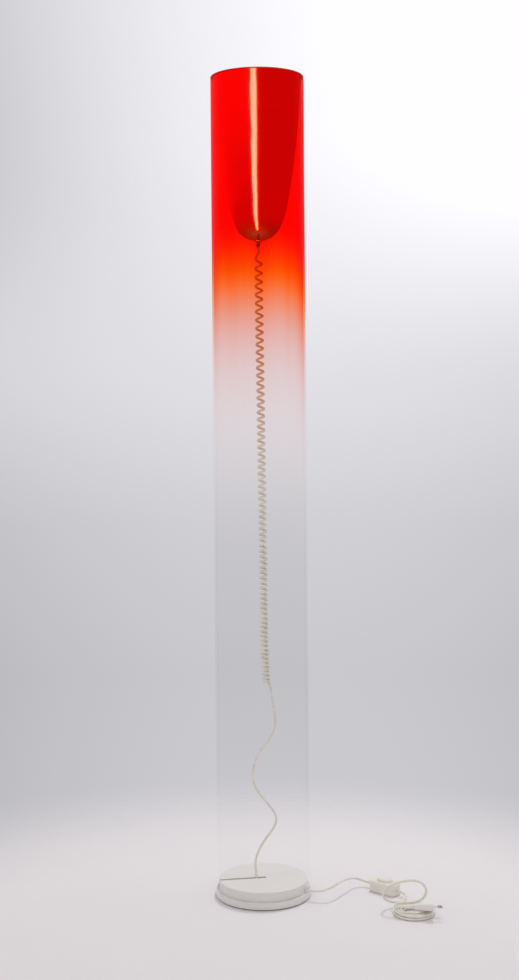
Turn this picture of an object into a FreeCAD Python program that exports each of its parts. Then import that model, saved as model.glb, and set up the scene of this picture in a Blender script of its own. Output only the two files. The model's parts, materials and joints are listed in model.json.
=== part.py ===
import FreeCAD, Part
import math
import os

import Sketcher

# Tube floor lamp, in millimetres: a tinted clear tube stands on a white base, and a spun bullet
# reflector with the lampholder hangs in its mouth, fed by a curly cord from the base.
# Z is up, the origin is the middle of the base's underside, and the lead leaves towards +X.

SIZES = {
    # Tube and base
    "lamp_height": 1756, "tube_radius": 100, "tube_wall": 4, "foot_height": 2, "foot_inset": 4,
    "flange_overhang": 1.5, "flange_height": 14, "flange_edge": 1, "spigot_height": 20,
    "spigot_clearance": 0.5, "spigot_edge": 2, "cover_wall": 3,
    "slot_gap": 2.8, "slot_turn": 9, "slot_reach": 6.5, "slot_cord_offset": 15.4,
    "boss_circle": 72, "boss_radius": 5.5,
    "cover_screw_radius": 2, "cover_screw_length": 20, "cover_head_radius": 4.2, "cover_head_height": 3,
    "cover_head_depth": 4, "screw_clearance": 0.1, "head_clearance": 0.4,
    "ballast_hole": 36, "ballast_headroom": 3, "ballast_gap": 1, "channel_gap": 3,
    # Cord and its way out of the base
    "cord_diameter": 5.2, "cord_clearance": 0.1, "bush_wall": 1.6, "bush_lift": 0.2, "bush_nose": 4,
    "bush_collar": 1.5, "bush_collar_depth": 2, "bush_clearance": 0.3, "exit_turn": -22, "held_bend": 36,
    "clamp_offset": 58, "clamp_length": 10, "clamp_width": 30, "clamp_roof": 3,
    "clamp_screw_radius": 1.5, "clamp_screw_depth": 8, "clamp_screw_offset": 10,
    "clamp_head_radius": 3, "clamp_head_height": 1.8,
    # Reflector
    "lip_thickness": 1.2, "reflector_wall": 1.2, "reflector_clearance": 1, "shoulder_depth": 277,
    "shoulder_radius": 63.6, "cap_drop": 45, "cap_inset": 15.1, "nose_drop": 29, "seat_radius": 10,
    "side_bend": 1830, "shoulder_bend": 211, "cap_bend": 49,
    # Lampholder on its threaded nipple
    "nipple_radius": 5, "nipple_room": 0.2, "nipple_above": 12, "nipple_below": 7,
    "thread_clearance": 0.1, "nut_corner": 8.1, "nut_height": 3, "washer_radius": 9, "washer_height": 2,
    "grip_height": 10, "grip_wall": 2.2,
    "holder_cap_foot": 13, "holder_radius": 19.5, "holder_wall": 2, "holder_cap_height": 20,
    "holder_cone_height": 10, "core_height": 10, "skirt_height": 34, "shell_wall": 0.5,
    "contact_radius": 4, "contact_height": 2,
    # Bulb
    "bulb_cap_radius": 13.1, "bulb_cap_height": 23, "bulb_clearance": 0.4, "bulb_tip_radius": 5,
    "bulb_tip_height": 3, "bulb_radius": 30, "bulb_glass_height": 80, "bulb_neck_radius": 12,
    "bulb_wall": 1, "bulb_neck_bend": 75,
    # Curly cord
    "curl_pitch": 13.15, "curl_radius": 6.9, "curl_growth": 2.3, "curl_bottom": 443, "curl_lean": 6.7,
    "curl_kick": 4.5, "curl_kick_height": 32, "curl_start_turns": 0.5, "curl_start_rise": 36,
    "curl_end_turns": 1.25, "curl_end_rise": 35,
    # Foot switch
    "switch_x": 261, "switch_y": 6, "switch_turn": -42, "switch_length": 68,
    "switch_corner": 11, "switch_split": 11, "switch_height": 24, "switch_wall": 2, "switch_edge": 4,
    "button_width": 24, "button_corner": 11, "button_end_gap": 2.9, "button_clearance": 0.3,
    "button_lip": 2, "button_lip_height": 1.5, "button_gap": 1, "button_rise": 7, "button_edge": 4,
    "button_wall": 4.5, "button_travel": 3, "button_cavity_depth": 3.4,
    "contact_width": 4, "contact_gap": 0.3,
    "spring_radius": 6, "spring_wire": 1, "spring_turns": 6, "spring_clearance": 0.2,
    "case_post_inset": 2.4, "case_screw_radius": 1.5, "case_post_radius": 3.6, "case_head_radius": 2.6,
    "case_head_height": 2, "case_head_depth": 3, "case_screw_length": 13,
    # Plug
    "plug_x": 308.5, "plug_y": -146, "plug_z": 22.5, "plug_tilt": -15, "plug_length": 37,
    "plug_width": 35.3, "plug_thickness": 13.7, "plug_rear_width": 12, "plug_neck": 14,
    "plug_neck_width": 16, "plug_shoulder": 26,
    "plug_edge": 2.5, "relief_length": 14, "relief_radius": 5, "relief_tip": 3.2,
    "pin_radius": 2, "pin_length": 19, "pin_spacing": 18.6, "pin_sleeve_length": 10,
    "pin_sleeve_radius": 1.6, "pin_core_radius": 1.1,
    # Coil of spare lead
    "coil_x": 309.5, "coil_y": -122, "coil_radius": 40.9, "coil_gap": 0.6, "coil_turns_in": 3,
    "coil_turns_out": 3.25, "coil_layer_gap": 0.5, "coil_floor_gap": 0.1,
}

COVER_SCREWS = 3
LEAST_SELF_GAP = 0.4

# Share of a cord's run that an arc takes, and of an end run inside the base, which only one arc shares
ARC_SHARE = 0.45
HELD_END_SHARE = 0.9

# Turns of a winding that lift it by a layer, and quarter turns at its ends that get a station each
CLIMB_TURNS = 0.5
FINE_QUARTERS = 8

# Straight lead-ins of the cords at the slot, bush, switch, coil and plug
SLOT_RUN, EXIT_RUN, SWITCH_RUN_IN, SWITCH_RUN_OUT = 12, 19, 16.3, 12
COIL_RUN_IN, COIL_RUN_OUT, PLUG_RUN = 14, 15, 14.5
TAIL_END_DIAMETERS = 3

# Samples on an arc, step along a curve for its direction, and what counts as no length or no turn
ARC_SAMPLES = 6
NUDGE = 1e-4
NO_LENGTH = 1e-6
NO_TURN = 1e-5

document = FreeCAD.newDocument("TubeFloorLamp")
sheet = document.addObject("Spreadsheet::Sheet", "Sizes")
for row, (alias, size) in enumerate(SIZES.items(), start=1):
    sheet.set(f"A{row}", alias)
    sheet.set(f"B{row}", str(size))
    sheet.setAlias(f"B{row}", alias)
document.recompute()

# Places that several pieces share, as formulas over the sheet
FLANGE = "(Sizes.tube_radius + Sizes.flange_overhang)"
FLANGE_TOP = "(Sizes.foot_height + Sizes.flange_height)"
COVER_TOP = f"({FLANGE_TOP} + Sizes.spigot_height)"
BORE = "(Sizes.tube_radius - Sizes.tube_wall)"
SPIGOT = f"({BORE} - Sizes.spigot_clearance)"
COVER_INSIDE = f"({SPIGOT} - Sizes.cover_wall)"
BALLAST_HEIGHT = "(Sizes.spigot_height - Sizes.cover_wall - Sizes.ballast_headroom)"
TUBE_TOP = "(Sizes.lamp_height - Sizes.lip_thickness)"
CORD = "(Sizes.cord_diameter / 2)"
CORD_HOLE = f"({CORD} + Sizes.cord_clearance)"
BUSH = f"({CORD_HOLE} + Sizes.bush_wall)"
EXIT_HEIGHT = f"({FLANGE_TOP} + {BUSH} + Sizes.bush_lift)"
BUSH_END = "(Sizes.tube_radius + Sizes.bush_nose)"
CLAMP_TOP = f"({EXIT_HEIGHT} + {CORD_HOLE} + Sizes.clamp_roof)"
SHOULDER = "(Sizes.lamp_height - Sizes.shoulder_depth)"
CAP = f"({SHOULDER} - Sizes.cap_drop)"
CAP_RADIUS = "(Sizes.shoulder_radius - Sizes.cap_inset)"
NOSE = f"({CAP} - Sizes.nose_drop)"
SEAT = f"({NOSE} + Sizes.reflector_wall)"
NIPPLE_HOLE = "(Sizes.nipple_radius + Sizes.thread_clearance)"
NIPPLE_BORE = f"({CORD_HOLE} + Sizes.nipple_room)"
GRIP_TOP = f"({NOSE} - Sizes.nut_height)"
GRIP_TIP = f"({GRIP_TOP} - Sizes.grip_height)"
HOLDER_FOOT = f"({SEAT} + Sizes.washer_height)"
CORE_FOOT = f"({HOLDER_FOOT} + Sizes.holder_cap_height)"
CORE_TOP = f"({CORE_FOOT} + Sizes.core_height)"
BULB_TIP = f"({CORE_TOP} + Sizes.contact_height)"
BULB_CAP = f"({BULB_TIP} + Sizes.bulb_tip_height)"
BULB_NECK = f"({BULB_CAP} + Sizes.bulb_cap_height)"
BULB_TOP = f"({BULB_NECK} + Sizes.bulb_glass_height)"
CASE_INSIDE = "(Sizes.switch_height - Sizes.switch_wall)"
BUTTON_HALF_WIDTH = "(Sizes.button_width / 2)"
BUTTON_HALF_LENGTH = ("(Sizes.switch_length / 2 - Sizes.switch_wall - Sizes.case_post_inset "
                      "- 2 * Sizes.case_post_radius - Sizes.button_end_gap - Sizes.button_lip)")
BUTTON_CAVITY = f"({BUTTON_HALF_WIDTH} - Sizes.button_wall)"
LIP_FOOT = f"({CASE_INSIDE} - Sizes.button_lip_height)"


def number(formula):
    """Value of a formula over the sheet."""
    return float(sheet.evalExpression(formula))


def add(kind, label):
    """New object of the document under its own label."""
    piece = document.addObject(kind, label)
    piece.Label = label
    return piece


def bind(piece, **formulas):
    """Tie properties of a piece to formulas over the sheet."""
    for name, formula in formulas.items():
        piece.setExpression(name, formula)
    return piece


def shift(piece, x="0", y="0", z="0"):
    """Tie a piece's place to formulas over the sheet."""
    for axis, formula in zip("xyz", (x, y, z)):
        piece.setExpression(f"Placement.Base.{axis}", formula)
    return piece


def rotate(piece, axis, angle):
    """Turn a piece about one of its axes by an angle in degrees."""
    piece.Placement = FreeCAD.Placement(piece.Placement.Base, FreeCAD.Rotation(axis, angle))
    return piece


def arc_between(start, end, bend):
    """Arc of a circle with its centre on the left of the way for a positive bend, else on the right."""
    middle = (start + end) / 2
    along = end - start
    reach = math.sqrt(bend ** 2 - (along.Length / 2) ** 2)
    left = FreeCAD.Vector(-along.y, along.x, 0).normalize()
    centre = middle + left * math.copysign(reach, bend)
    first, last = (start, end) if bend > 0 else (end, start)
    angles = [math.atan2(point.y - centre.y, point.x - centre.x) for point in (first, last)]
    circle = Part.Circle(centre, FreeCAD.Vector(0, 0, 1), abs(bend))
    return Part.ArcOfCircle(circle, *angles)


def centre_formula(corner, following):
    """Constraint kind and formula that settle the centre of the arc from one corner to the next: of its
    two coordinates, the one that a change of radius moves more."""
    (x, y, bend), (next_x, next_y) = corner, following[:2]
    across, up = f"(({next_x}) - ({x}))", f"(({next_y}) - ({y}))"
    chord = f"sqrt({across}^2 + {up}^2)"
    reach = f"sqrt(({bend})^2 - {chord}^2 / 4) * {math.copysign(1, number(bend))}"
    if abs(number(up)) > abs(number(across)):
        return "DistanceX", f"(({x}) + ({next_x})) / 2 - {up} / {chord} * {reach}"
    return "DistanceY", f"(({y}) + ({next_y})) / 2 + {across} / {chord} * {reach}"


def outline(body, plane, corners, offset="0"):
    """Closed sketch through corners given by formulas. A third formula is the signed radius of the arc
    that leaves the corner, where the side to the next corner isn't straight."""
    sketch = body.newObject("Sketcher::SketchObject", body.Label + "_outline")
    role = {feature.Role: feature for feature in body.Origin.OriginFeatures}[plane]
    sketch.AttachmentSupport = (role, [""])
    sketch.MapMode = "FlatFace"
    sketch.setExpression("AttachmentOffset.Base.z", offset)
    points = [FreeCAD.Vector(number(corner[0]), number(corner[1]), 0) for corner in corners]
    bends = [number(corner[2]) if len(corner) > 2 else 0 for corner in corners]
    begins = [2 if bend < 0 else 1 for bend in bends]
    nexts = list(range(1, len(corners))) + [0]
    for index, bend in enumerate(bends):
        start, end = points[index], points[nexts[index]]
        sketch.addGeometry(arc_between(start, end, bend) if bend else Part.LineSegment(start, end))
    for index, corner in enumerate(corners):
        following = nexts[index]
        sketch.addConstraint(
            Sketcher.Constraint("Coincident", index, 3 - begins[index], following, begins[following]))
        ties = [("DistanceX", corner[0], begins[index]), ("DistanceY", corner[1], begins[index])]
        if bends[index]:
            ties.append((*centre_formula(corner, corners[following]), 3))
        for kind, formula, point in ties:
            place = sketch.addConstraint(Sketcher.Constraint(kind, -1, 1, index, point, number(formula)))
            sketch.setExpression(f"Constraints[{place}]", formula)
    return sketch


def turned(label, corners):
    """Body turned about Z from an outline of (radius, height) corners."""
    body = add("PartDesign::Body", label)
    feature = body.newObject("PartDesign::Revolution", label + "_turn")
    feature.Profile = outline(body, "XZ_Plane", corners)
    feature.ReferenceAxis = (feature.Profile[0], ["V_Axis"])
    feature.Angle = 360
    return body


def padded(label, corners, bottom, height):
    """Body raised from a flat outline, between two levels given by formulas."""
    body = add("PartDesign::Body", label)
    feature = body.newObject("PartDesign::Pad", label + "_pad")
    feature.Profile = outline(body, "XY_Plane", corners, bottom)
    feature.setExpression("Length", height)
    return body


def ring(label, inner, outer, bottom, top):
    """Turned ring of rectangular section."""
    return turned(label, [(inner, bottom), (outer, bottom), (outer, top), (inner, top)])


def rod(label, radius, length, x="0", y="0", z="0"):
    """Upright cylinder."""
    piece = bind(add("Part::Cylinder", label), Radius=radius, Height=length)
    return shift(piece, x, y, z)


def rod_along(label, radius, start, end, height):
    """Level cylinder along X between two distances from the Z axis."""
    piece = bind(add("Part::Cylinder", label), Radius=radius, Height=f"{end} - {start}")
    shift(piece, x=start, z=height)
    return rotate(piece, FreeCAD.Vector(0, 1, 0), 90)


def block(label, length, width, height, x="0", y="0", z="0"):
    """Box placed by its lowest corner."""
    piece = bind(add("Part::Box", label), Length=length, Width=width, Height=height)
    return shift(piece, x, y, z)


def gathered(kind, label, pieces):
    """Boolean or compound of several pieces."""
    result = add(kind, label)
    setattr(result, "Links" if kind == "Part::Compound" else "Shapes", pieces)
    return result


def cut(label, base, *tools):
    """Base piece less its tools."""
    result = add("Part::Cut", label)
    result.Base = base
    result.Tool = tools[0] if len(tools) == 1 else gathered("Part::MultiFuse", label + "_tools", list(tools))
    return result


def spun(piece, turn):
    """Copy of a piece turned about Z, by a formula in degrees."""
    copy = gathered("Part::Compound", f"{piece.Label}_at", [piece])
    return rotate(copy, FreeCAD.Vector(0, 0, 1), number(turn))


def screw(label, shank, head, foot, length, head_height, x, y="0", head_up=False):
    """Screw whose head bears on the level of foot, with the shank going up, or down where head_up."""
    shank_foot = f"{foot} - {length}" if head_up else foot
    head_foot = foot if head_up else f"{foot} - {head_height}"
    pieces = [rod(label + "_shank", shank, length, x, y, shank_foot),
              rod(label + "_head", head, head_height, x, y, head_foot)]
    return gathered("Part::MultiFuse", label, pieces)


def rounded(half_length, half_width, corner):
    """Corners of a rectangle with round corners, about the origin."""
    flat_x, flat_y = f"({half_length} - {corner})", f"({half_width} - {corner})"
    return [(f"-{flat_x}", f"-{half_width}"), (flat_x, f"-{half_width}", corner),
            (half_length, f"-{flat_y}"), (half_length, flat_y, corner),
            (flat_x, half_width), (f"-{flat_x}", half_width, corner),
            (f"-{half_length}", flat_y), (f"-{half_length}", f"-{flat_y}", corner)]


# Cord paths

def vector(x, y, z):
    """Point or direction."""
    return FreeCAD.Vector(x, y, z)


def rounded_route(points, end_share):
    """Edges of straight runs joined by tangent arcs, each arc as large as its two runs allow. The first
    and last runs, which only one arc shares, may give it another share."""
    edges, radii, here = [], [], points[0]
    for before, corner, after in zip(points, points[1:], points[2:]):
        into, out = corner - before, after - corner
        turn = into.getAngle(out)
        reach = min(into.Length * (end_share if before == points[0] else ARC_SHARE),
                    out.Length * (end_share if after == points[-1] else ARC_SHARE))
        radii.append(reach / math.tan(turn / 2))
        into.normalize()
        out.normalize()
        start, end = corner - into * reach, corner + out * reach
        inward = (out - into).normalize()
        crown = corner + inward * (radii[-1] / math.cos(turn / 2) - radii[-1])
        if (start - here).Length > NO_LENGTH:
            edges.append(Part.LineSegment(here, start).toShape())
        edges.append(Part.Arc(start, crown, end).toShape())
        here = end
    edges.append(Part.LineSegment(here, points[-1]).toShape())
    return edges, radii


def biarc(start, start_way, end, end_way):
    """Two tangent arcs from one point and direction to another."""
    chord, ways = end - start, start_way + end_way
    spread = 2 * (1 - start_way.dot(end_way))
    along = chord.dot(ways)
    if spread < NO_TURN ** 2:
        reach = chord.dot(chord) / (4 * chord.dot(end_way))
    else:
        reach = (math.sqrt(along ** 2 + spread * chord.dot(chord)) - along) / spread
    joint = (start + end + (start_way - end_way) * reach) / 2
    return [tangent_arc(start, start_way, joint), tangent_arc(end, end_way * -1, joint, True)]


def tangent_arc(start, way, end, backwards=False):
    """Arc that leaves start along way and ends at end, or the same arc run the other way."""
    chord = end - start
    half_turn = way.getAngle(chord)
    if half_turn < NO_TURN:
        return Part.LineSegment(*((end, start) if backwards else (start, end))).toShape()
    side = (way - chord * (way.dot(chord) / chord.dot(chord))).normalize()
    crown = (start + end) / 2 + side * (chord.Length / 2 * math.tan(half_turn / 2))
    return Part.Arc(*((end, crown, start) if backwards else (start, crown, end))).toShape()


def wound_route(curve, stations, straight):
    """Edges of biarcs along a curve through its stations, with a straight run at each end."""
    low, high = stations[0], stations[-1]
    points, ways = [], []
    for station in stations:
        before, after = max(low, station - NUDGE), min(high, station + NUDGE)
        points.append(curve(station))
        ways.append((curve(after) - curve(before)).normalize())
    lead_in, lead_out = points[0] - ways[0] * straight, points[-1] + ways[-1] * straight
    edges = [Part.LineSegment(lead_in, points[0]).toShape()]
    for index in range(len(stations) - 1):
        edges += biarc(points[index], ways[index], points[index + 1], ways[index + 1])
    edges.append(Part.LineSegment(points[-1], lead_out).toShape())
    return edges


def least_self_gap(edges, diameter):
    """Least clear gap between stretches of one tube that aren't neighbours, measured on points."""
    points, run, here = [], [], 0.0
    for edge in edges:
        for point in edge.discretize(ARC_SAMPLES)[1:]:
            points.append(point)
            here += edge.Length / (ARC_SAMPLES - 1)
            run.append(here)
    order = sorted(range(len(points)), key=lambda index: points[index].z)
    reach, least = diameter * 3, diameter * 3
    for place, index in enumerate(order):
        for other in order[place + 1:]:
            if points[other].z - points[index].z > reach:
                break
            if abs(run[other] - run[index]) > reach:
                least = min(least, (points[other] - points[index]).Length)
    return least - diameter


def tube_along(label, edges, diameter, radii=()):
    """Solid tube along edges, with its volume set against its section times its length."""
    wire = Part.Wire(edges)
    first = edges[0]
    start, way = first.valueAt(first.FirstParameter), first.tangentAt(first.FirstParameter)
    profile = Part.Wire([Part.makeCircle(diameter / 2, start, way)])
    piece = add("Part::Feature", label)
    piece.Shape = wire.makePipeShell([profile], True, False)
    share = piece.Shape.Volume / (math.pi * (diameter / 2) ** 2 * wire.Length)
    bends = f", radii {min(radii):.1f} to {max(radii):.1f}" if radii else ""
    print(f"{label}: length {wire.Length:.1f}, volume share {share:.5f}{bends}")
    return piece


def cord(label, points, end_share=ARC_SHARE):
    """Stretch of cord through chosen points."""
    edges, radii = rounded_route([vector(*point) for point in points], end_share)
    return tube_along(label, edges, sheet.cord_diameter, radii)


def wound(label, curve, stations, diameter):
    """Wound tube along a curve, with the least gap to itself printed."""
    edges = wound_route(curve, stations, diameter)
    gap = least_self_gap(edges, diameter)
    print(f"{label}: least gap to itself {gap:.2f}")
    if gap < LEAST_SELF_GAP:
        raise ValueError(f"{label} comes too near to itself")
    return tube_along(label, edges, diameter)


# Base

def make_base():
    """White base under the tube: plate, slotted cover, ballast, felt and screws."""
    nodes = [ring("felt_pad", "0", f"{FLANGE} - Sizes.foot_inset", "0", "Sizes.foot_height")]
    edge, rim = "Sizes.flange_edge", FLANGE
    disc = turned("plate_disc", [
        ("0", "Sizes.foot_height"), (f"{rim} - {edge}", "Sizes.foot_height", edge),
        (rim, f"Sizes.foot_height + {edge}"), (rim, f"{FLANGE_TOP} - {edge}", edge),
        (f"{rim} - {edge}", FLANGE_TOP), ("0", FLANGE_TOP)])
    head_level = "(Sizes.foot_height + Sizes.cover_head_depth)"
    screw_hole = "Sizes.cover_screw_radius + Sizes.screw_clearance"
    plate_holes, bosses, boss_holes, boss_rooms, screws = [], [], [], [], []
    cup = turned("cover_cup", [
        (COVER_INSIDE, FLANGE_TOP), (SPIGOT, FLANGE_TOP),
        (SPIGOT, f"{COVER_TOP} - Sizes.spigot_edge", "Sizes.spigot_edge"),
        (f"{SPIGOT} - Sizes.spigot_edge", COVER_TOP), ("0", COVER_TOP),
        ("0", f"{COVER_TOP} - Sizes.cover_wall"), (COVER_INSIDE, f"{COVER_TOP} - Sizes.cover_wall")])
    for index in range(COVER_SCREWS):
        turn = f"(Sizes.exit_turn + {2 * index + 1} * 180 / {COVER_SCREWS})"
        x, y = (f"Sizes.boss_circle * {wave}({turn} * 1 deg)" for wave in ("cos", "sin"))
        plate_holes += [
            rod(f"plate_hole_{index}", screw_hole, "Sizes.flange_height", x, y, "Sizes.foot_height"),
            rod(f"plate_recess_{index}", "Sizes.cover_head_radius + Sizes.head_clearance",
                "Sizes.cover_head_depth", x, y, "Sizes.foot_height")]
        bosses.append(rod(f"boss_{index}", "Sizes.boss_radius",
                          "Sizes.spigot_height - Sizes.cover_wall / 2", x, y, FLANGE_TOP))
        boss_holes.append(rod(f"boss_hole_{index}", screw_hole,
                              "Sizes.cover_screw_length + Sizes.cover_head_depth - Sizes.flange_height "
                              "+ Sizes.screw_clearance", x, y, FLANGE_TOP))
        boss_rooms.append(rod(f"boss_room_{index}", "Sizes.boss_radius + Sizes.ballast_gap",
                              BALLAST_HEIGHT, x, y, FLANGE_TOP))
        screws.append(screw(f"cover_screw_{index}", "Sizes.cover_screw_radius", "Sizes.cover_head_radius",
                            head_level, "Sizes.cover_screw_length", "Sizes.cover_head_height", x, y))
    clamp_holes = spun(gathered("Part::Compound", "clamp_hole_pair", [
        rod(f"clamp_hole_{side}", "Sizes.clamp_screw_radius + Sizes.screw_clearance",
            "Sizes.clamp_screw_depth + Sizes.screw_clearance", "Sizes.clamp_offset",
            f"{side} * Sizes.clamp_screw_offset",
            f"{FLANGE_TOP} - Sizes.clamp_screw_depth - Sizes.screw_clearance")
        for side in (-1, 1)]), "Sizes.exit_turn")
    nodes.append(cut("base_plate", disc, clamp_holes, *plate_holes))
    slot_width = "(Sizes.cord_diameter + Sizes.slot_gap)"
    slot = block("slot_tool", f"{SPIGOT} + Sizes.slot_reach", slot_width, "Sizes.spigot_height",
                 "-Sizes.slot_reach", f"-{slot_width} / 2", FLANGE_TOP)
    outlet = rod_along("outlet_tool", f"{BUSH} + Sizes.cord_clearance", f"({SPIGOT} / 2)",
                       "Sizes.tube_radius", EXIT_HEIGHT)
    cover_body = gathered("Part::MultiFuse", "cover_body", [cup] + bosses)
    nodes.append(cut("base_cover", cover_body, spun(slot, "180 + Sizes.slot_turn"),
                     spun(outlet, "Sizes.exit_turn"), *boss_holes))
    iron = ring("ballast_ring", "Sizes.ballast_hole", f"{COVER_INSIDE} - Sizes.ballast_gap",
                FLANGE_TOP, f"({FLANGE_TOP} + {BALLAST_HEIGHT})")
    channel_width = "(Sizes.clamp_width + 2 * Sizes.channel_gap)"
    channel = block("channel_tool", SPIGOT, channel_width, BALLAST_HEIGHT, "0", f"-{channel_width} / 2",
                    FLANGE_TOP)
    nodes.append(cut("ballast", iron, spun(channel, "Sizes.exit_turn"), *boss_rooms))
    nodes.append(gathered("Part::Compound", "cover_screws", screws))
    return nodes


def make_cord_exit():
    """Clamp and bush that hold the cord on its way out of the base."""
    bridge = block("bridge", "Sizes.clamp_length", "Sizes.clamp_width", f"{CLAMP_TOP} - {FLANGE_TOP}",
                   "Sizes.clamp_offset - Sizes.clamp_length / 2", "-Sizes.clamp_width / 2", FLANGE_TOP)
    groove = block("groove", "Sizes.clamp_length", f"2 * {CORD_HOLE}",
                   f"{EXIT_HEIGHT} + {CORD_HOLE} - {FLANGE_TOP}",
                   "Sizes.clamp_offset - Sizes.clamp_length / 2", f"-{CORD_HOLE}", FLANGE_TOP)
    holes, screws = [], []
    length = f"({CLAMP_TOP} - {FLANGE_TOP} + Sizes.clamp_screw_depth)"
    for side in (-1, 1):
        across = f"{side} * Sizes.clamp_screw_offset"
        holes.append(rod(f"bridge_hole_{side}", "Sizes.clamp_screw_radius + Sizes.screw_clearance",
                         CLAMP_TOP, "Sizes.clamp_offset", across))
        screws.append(screw(f"clamp_screw_{side}", "Sizes.clamp_screw_radius", "Sizes.clamp_head_radius",
                            CLAMP_TOP, length, "Sizes.clamp_head_height", "Sizes.clamp_offset", across, True))
    collar, collar_start = f"({BUSH} + Sizes.bush_collar)", f"({COVER_INSIDE} - Sizes.bush_collar_depth)"
    sleeve = gathered("Part::MultiFuse", "bush_body", [
        rod_along("bush_sleeve", BUSH, collar_start, BUSH_END, EXIT_HEIGHT),
        rod_along("bush_rim", collar, collar_start, f"sqrt({COVER_INSIDE}^2 - {collar}^2)", EXIT_HEIGHT)])
    bore = rod_along("bush_bore", CORD_HOLE, collar_start, BUSH_END, EXIT_HEIGHT)
    flat = block("bush_flat", "Sizes.tube_radius", "Sizes.tube_radius", FLANGE_TOP, "Sizes.tube_radius / 2",
                 "-Sizes.tube_radius / 2")
    nodes = [cut("cord_clamp", bridge, groove, *holes), gathered("Part::Compound", "clamp_screws", screws),
             cut("exit_bush", sleeve, bore, flat)]
    for node in nodes:
        rotate(node, FreeCAD.Vector(0, 0, 1), sheet.exit_turn)
    return nodes


def make_tube():
    """Clear tube with an arched notch for the lead in its lower edge."""
    wall = ring("tube_wall", BORE, "Sizes.tube_radius", FLANGE_TOP, TUBE_TOP)
    room = f"({BUSH} + Sizes.bush_clearance)"
    arch = rod_along("notch_arch", room, f"({BORE} / 2)", BUSH_END, EXIT_HEIGHT)
    foot = block("notch_foot", f"{BUSH_END} - {BORE} / 2", f"2 * {room}", f"{EXIT_HEIGHT} - {FLANGE_TOP}",
                 f"{BORE} / 2", f"-{room}", FLANGE_TOP)
    tube = cut("tube", wall, arch, foot)
    return [rotate(tube, FreeCAD.Vector(0, 0, 1), sheet.exit_turn)]


# Reflector and lampholder

def make_reflector():
    """Bullet reflector that hangs by its lip on the tube's upper edge."""
    rim, wall = f"({BORE} - Sizes.reflector_clearance)", "Sizes.reflector_wall"
    return [turned("reflector", [
        (NIPPLE_HOLE, NOSE), ("Sizes.seat_radius", NOSE, "Sizes.cap_bend"),
        (CAP_RADIUS, CAP, "Sizes.shoulder_bend"), ("Sizes.shoulder_radius", SHOULDER, "Sizes.side_bend"),
        (rim, TUBE_TOP), ("Sizes.tube_radius", TUBE_TOP), ("Sizes.tube_radius", "Sizes.lamp_height"),
        (f"{rim} - {wall}", "Sizes.lamp_height", f"-(Sizes.side_bend - {wall})"),
        (f"Sizes.shoulder_radius - {wall}", f"{SHOULDER} + {wall}", f"-(Sizes.shoulder_bend - {wall})"),
        (f"{CAP_RADIUS} - {wall}", f"{CAP} + {wall}", f"-(Sizes.cap_bend - {wall})"),
        ("Sizes.seat_radius", SEAT), (NIPPLE_HOLE, SEAT)])]


def make_lampholder():
    """Lampholder on a threaded nipple through the reflector's nose, with its nut, washer and cord grip."""
    nipple_foot, nipple_top = f"({NOSE} - Sizes.nipple_below)", f"({SEAT} + Sizes.nipple_above)"
    nodes = [ring("nipple", NIPPLE_BORE, "Sizes.nipple_radius", nipple_foot, nipple_top),
             ring("seat_washer", NIPPLE_HOLE, "Sizes.washer_radius", SEAT, HOLDER_FOOT)]
    hexagon = bind(add("Part::Prism", "nut_hexagon"), Circumradius="Sizes.nut_corner",
                   Height="Sizes.nut_height")
    hexagon.Polygon = 6
    shift(hexagon, z=GRIP_TOP)
    nodes.append(cut("nose_nut", hexagon, rod("nut_bore", NIPPLE_HOLE, "Sizes.nut_height", z=GRIP_TOP)))
    nodes.append(turned("cord_grip", [
        (CORD_HOLE, GRIP_TIP), (f"{CORD_HOLE} + Sizes.grip_wall", GRIP_TIP),
        (f"{NIPPLE_HOLE} + Sizes.grip_wall", GRIP_TOP), (NIPPLE_HOLE, GRIP_TOP),
        (NIPPLE_HOLE, nipple_foot), (CORD_HOLE, nipple_foot)]))
    nodes.append(rod("cord_in_head", CORD, f"{nipple_top} - {GRIP_TIP}", z=GRIP_TIP))
    inside = "(Sizes.holder_radius - Sizes.holder_wall)"
    cone, floor = (f"({HOLDER_FOOT} + Sizes.{name})" for name in ("holder_cone_height", "holder_wall"))
    nodes.append(turned("holder_cap", [
        (NIPPLE_HOLE, HOLDER_FOOT), ("Sizes.holder_cap_foot", HOLDER_FOOT), ("Sizes.holder_radius", cone),
        ("Sizes.holder_radius", CORE_FOOT), (inside, CORE_FOOT), (inside, cone),
        ("Sizes.holder_cap_foot - Sizes.holder_wall", floor), (NIPPLE_HOLE, floor)]))
    nodes.append(ring("holder_core", "0", f"{inside} - Sizes.thread_clearance", CORE_FOOT, CORE_TOP))
    skirt_top = f"({CORE_FOOT} + Sizes.skirt_height)"
    nodes.append(ring("holder_skirt", inside, "Sizes.holder_radius", CORE_FOOT, skirt_top))
    shell = "(Sizes.bulb_cap_radius + Sizes.bulb_clearance)"
    nodes.append(ring("screw_shell", shell, f"{shell} + Sizes.shell_wall", CORE_TOP, skirt_top))
    nodes.append(ring("centre_contact", "0", "Sizes.contact_radius", CORE_TOP, BULB_TIP))
    return nodes


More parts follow.
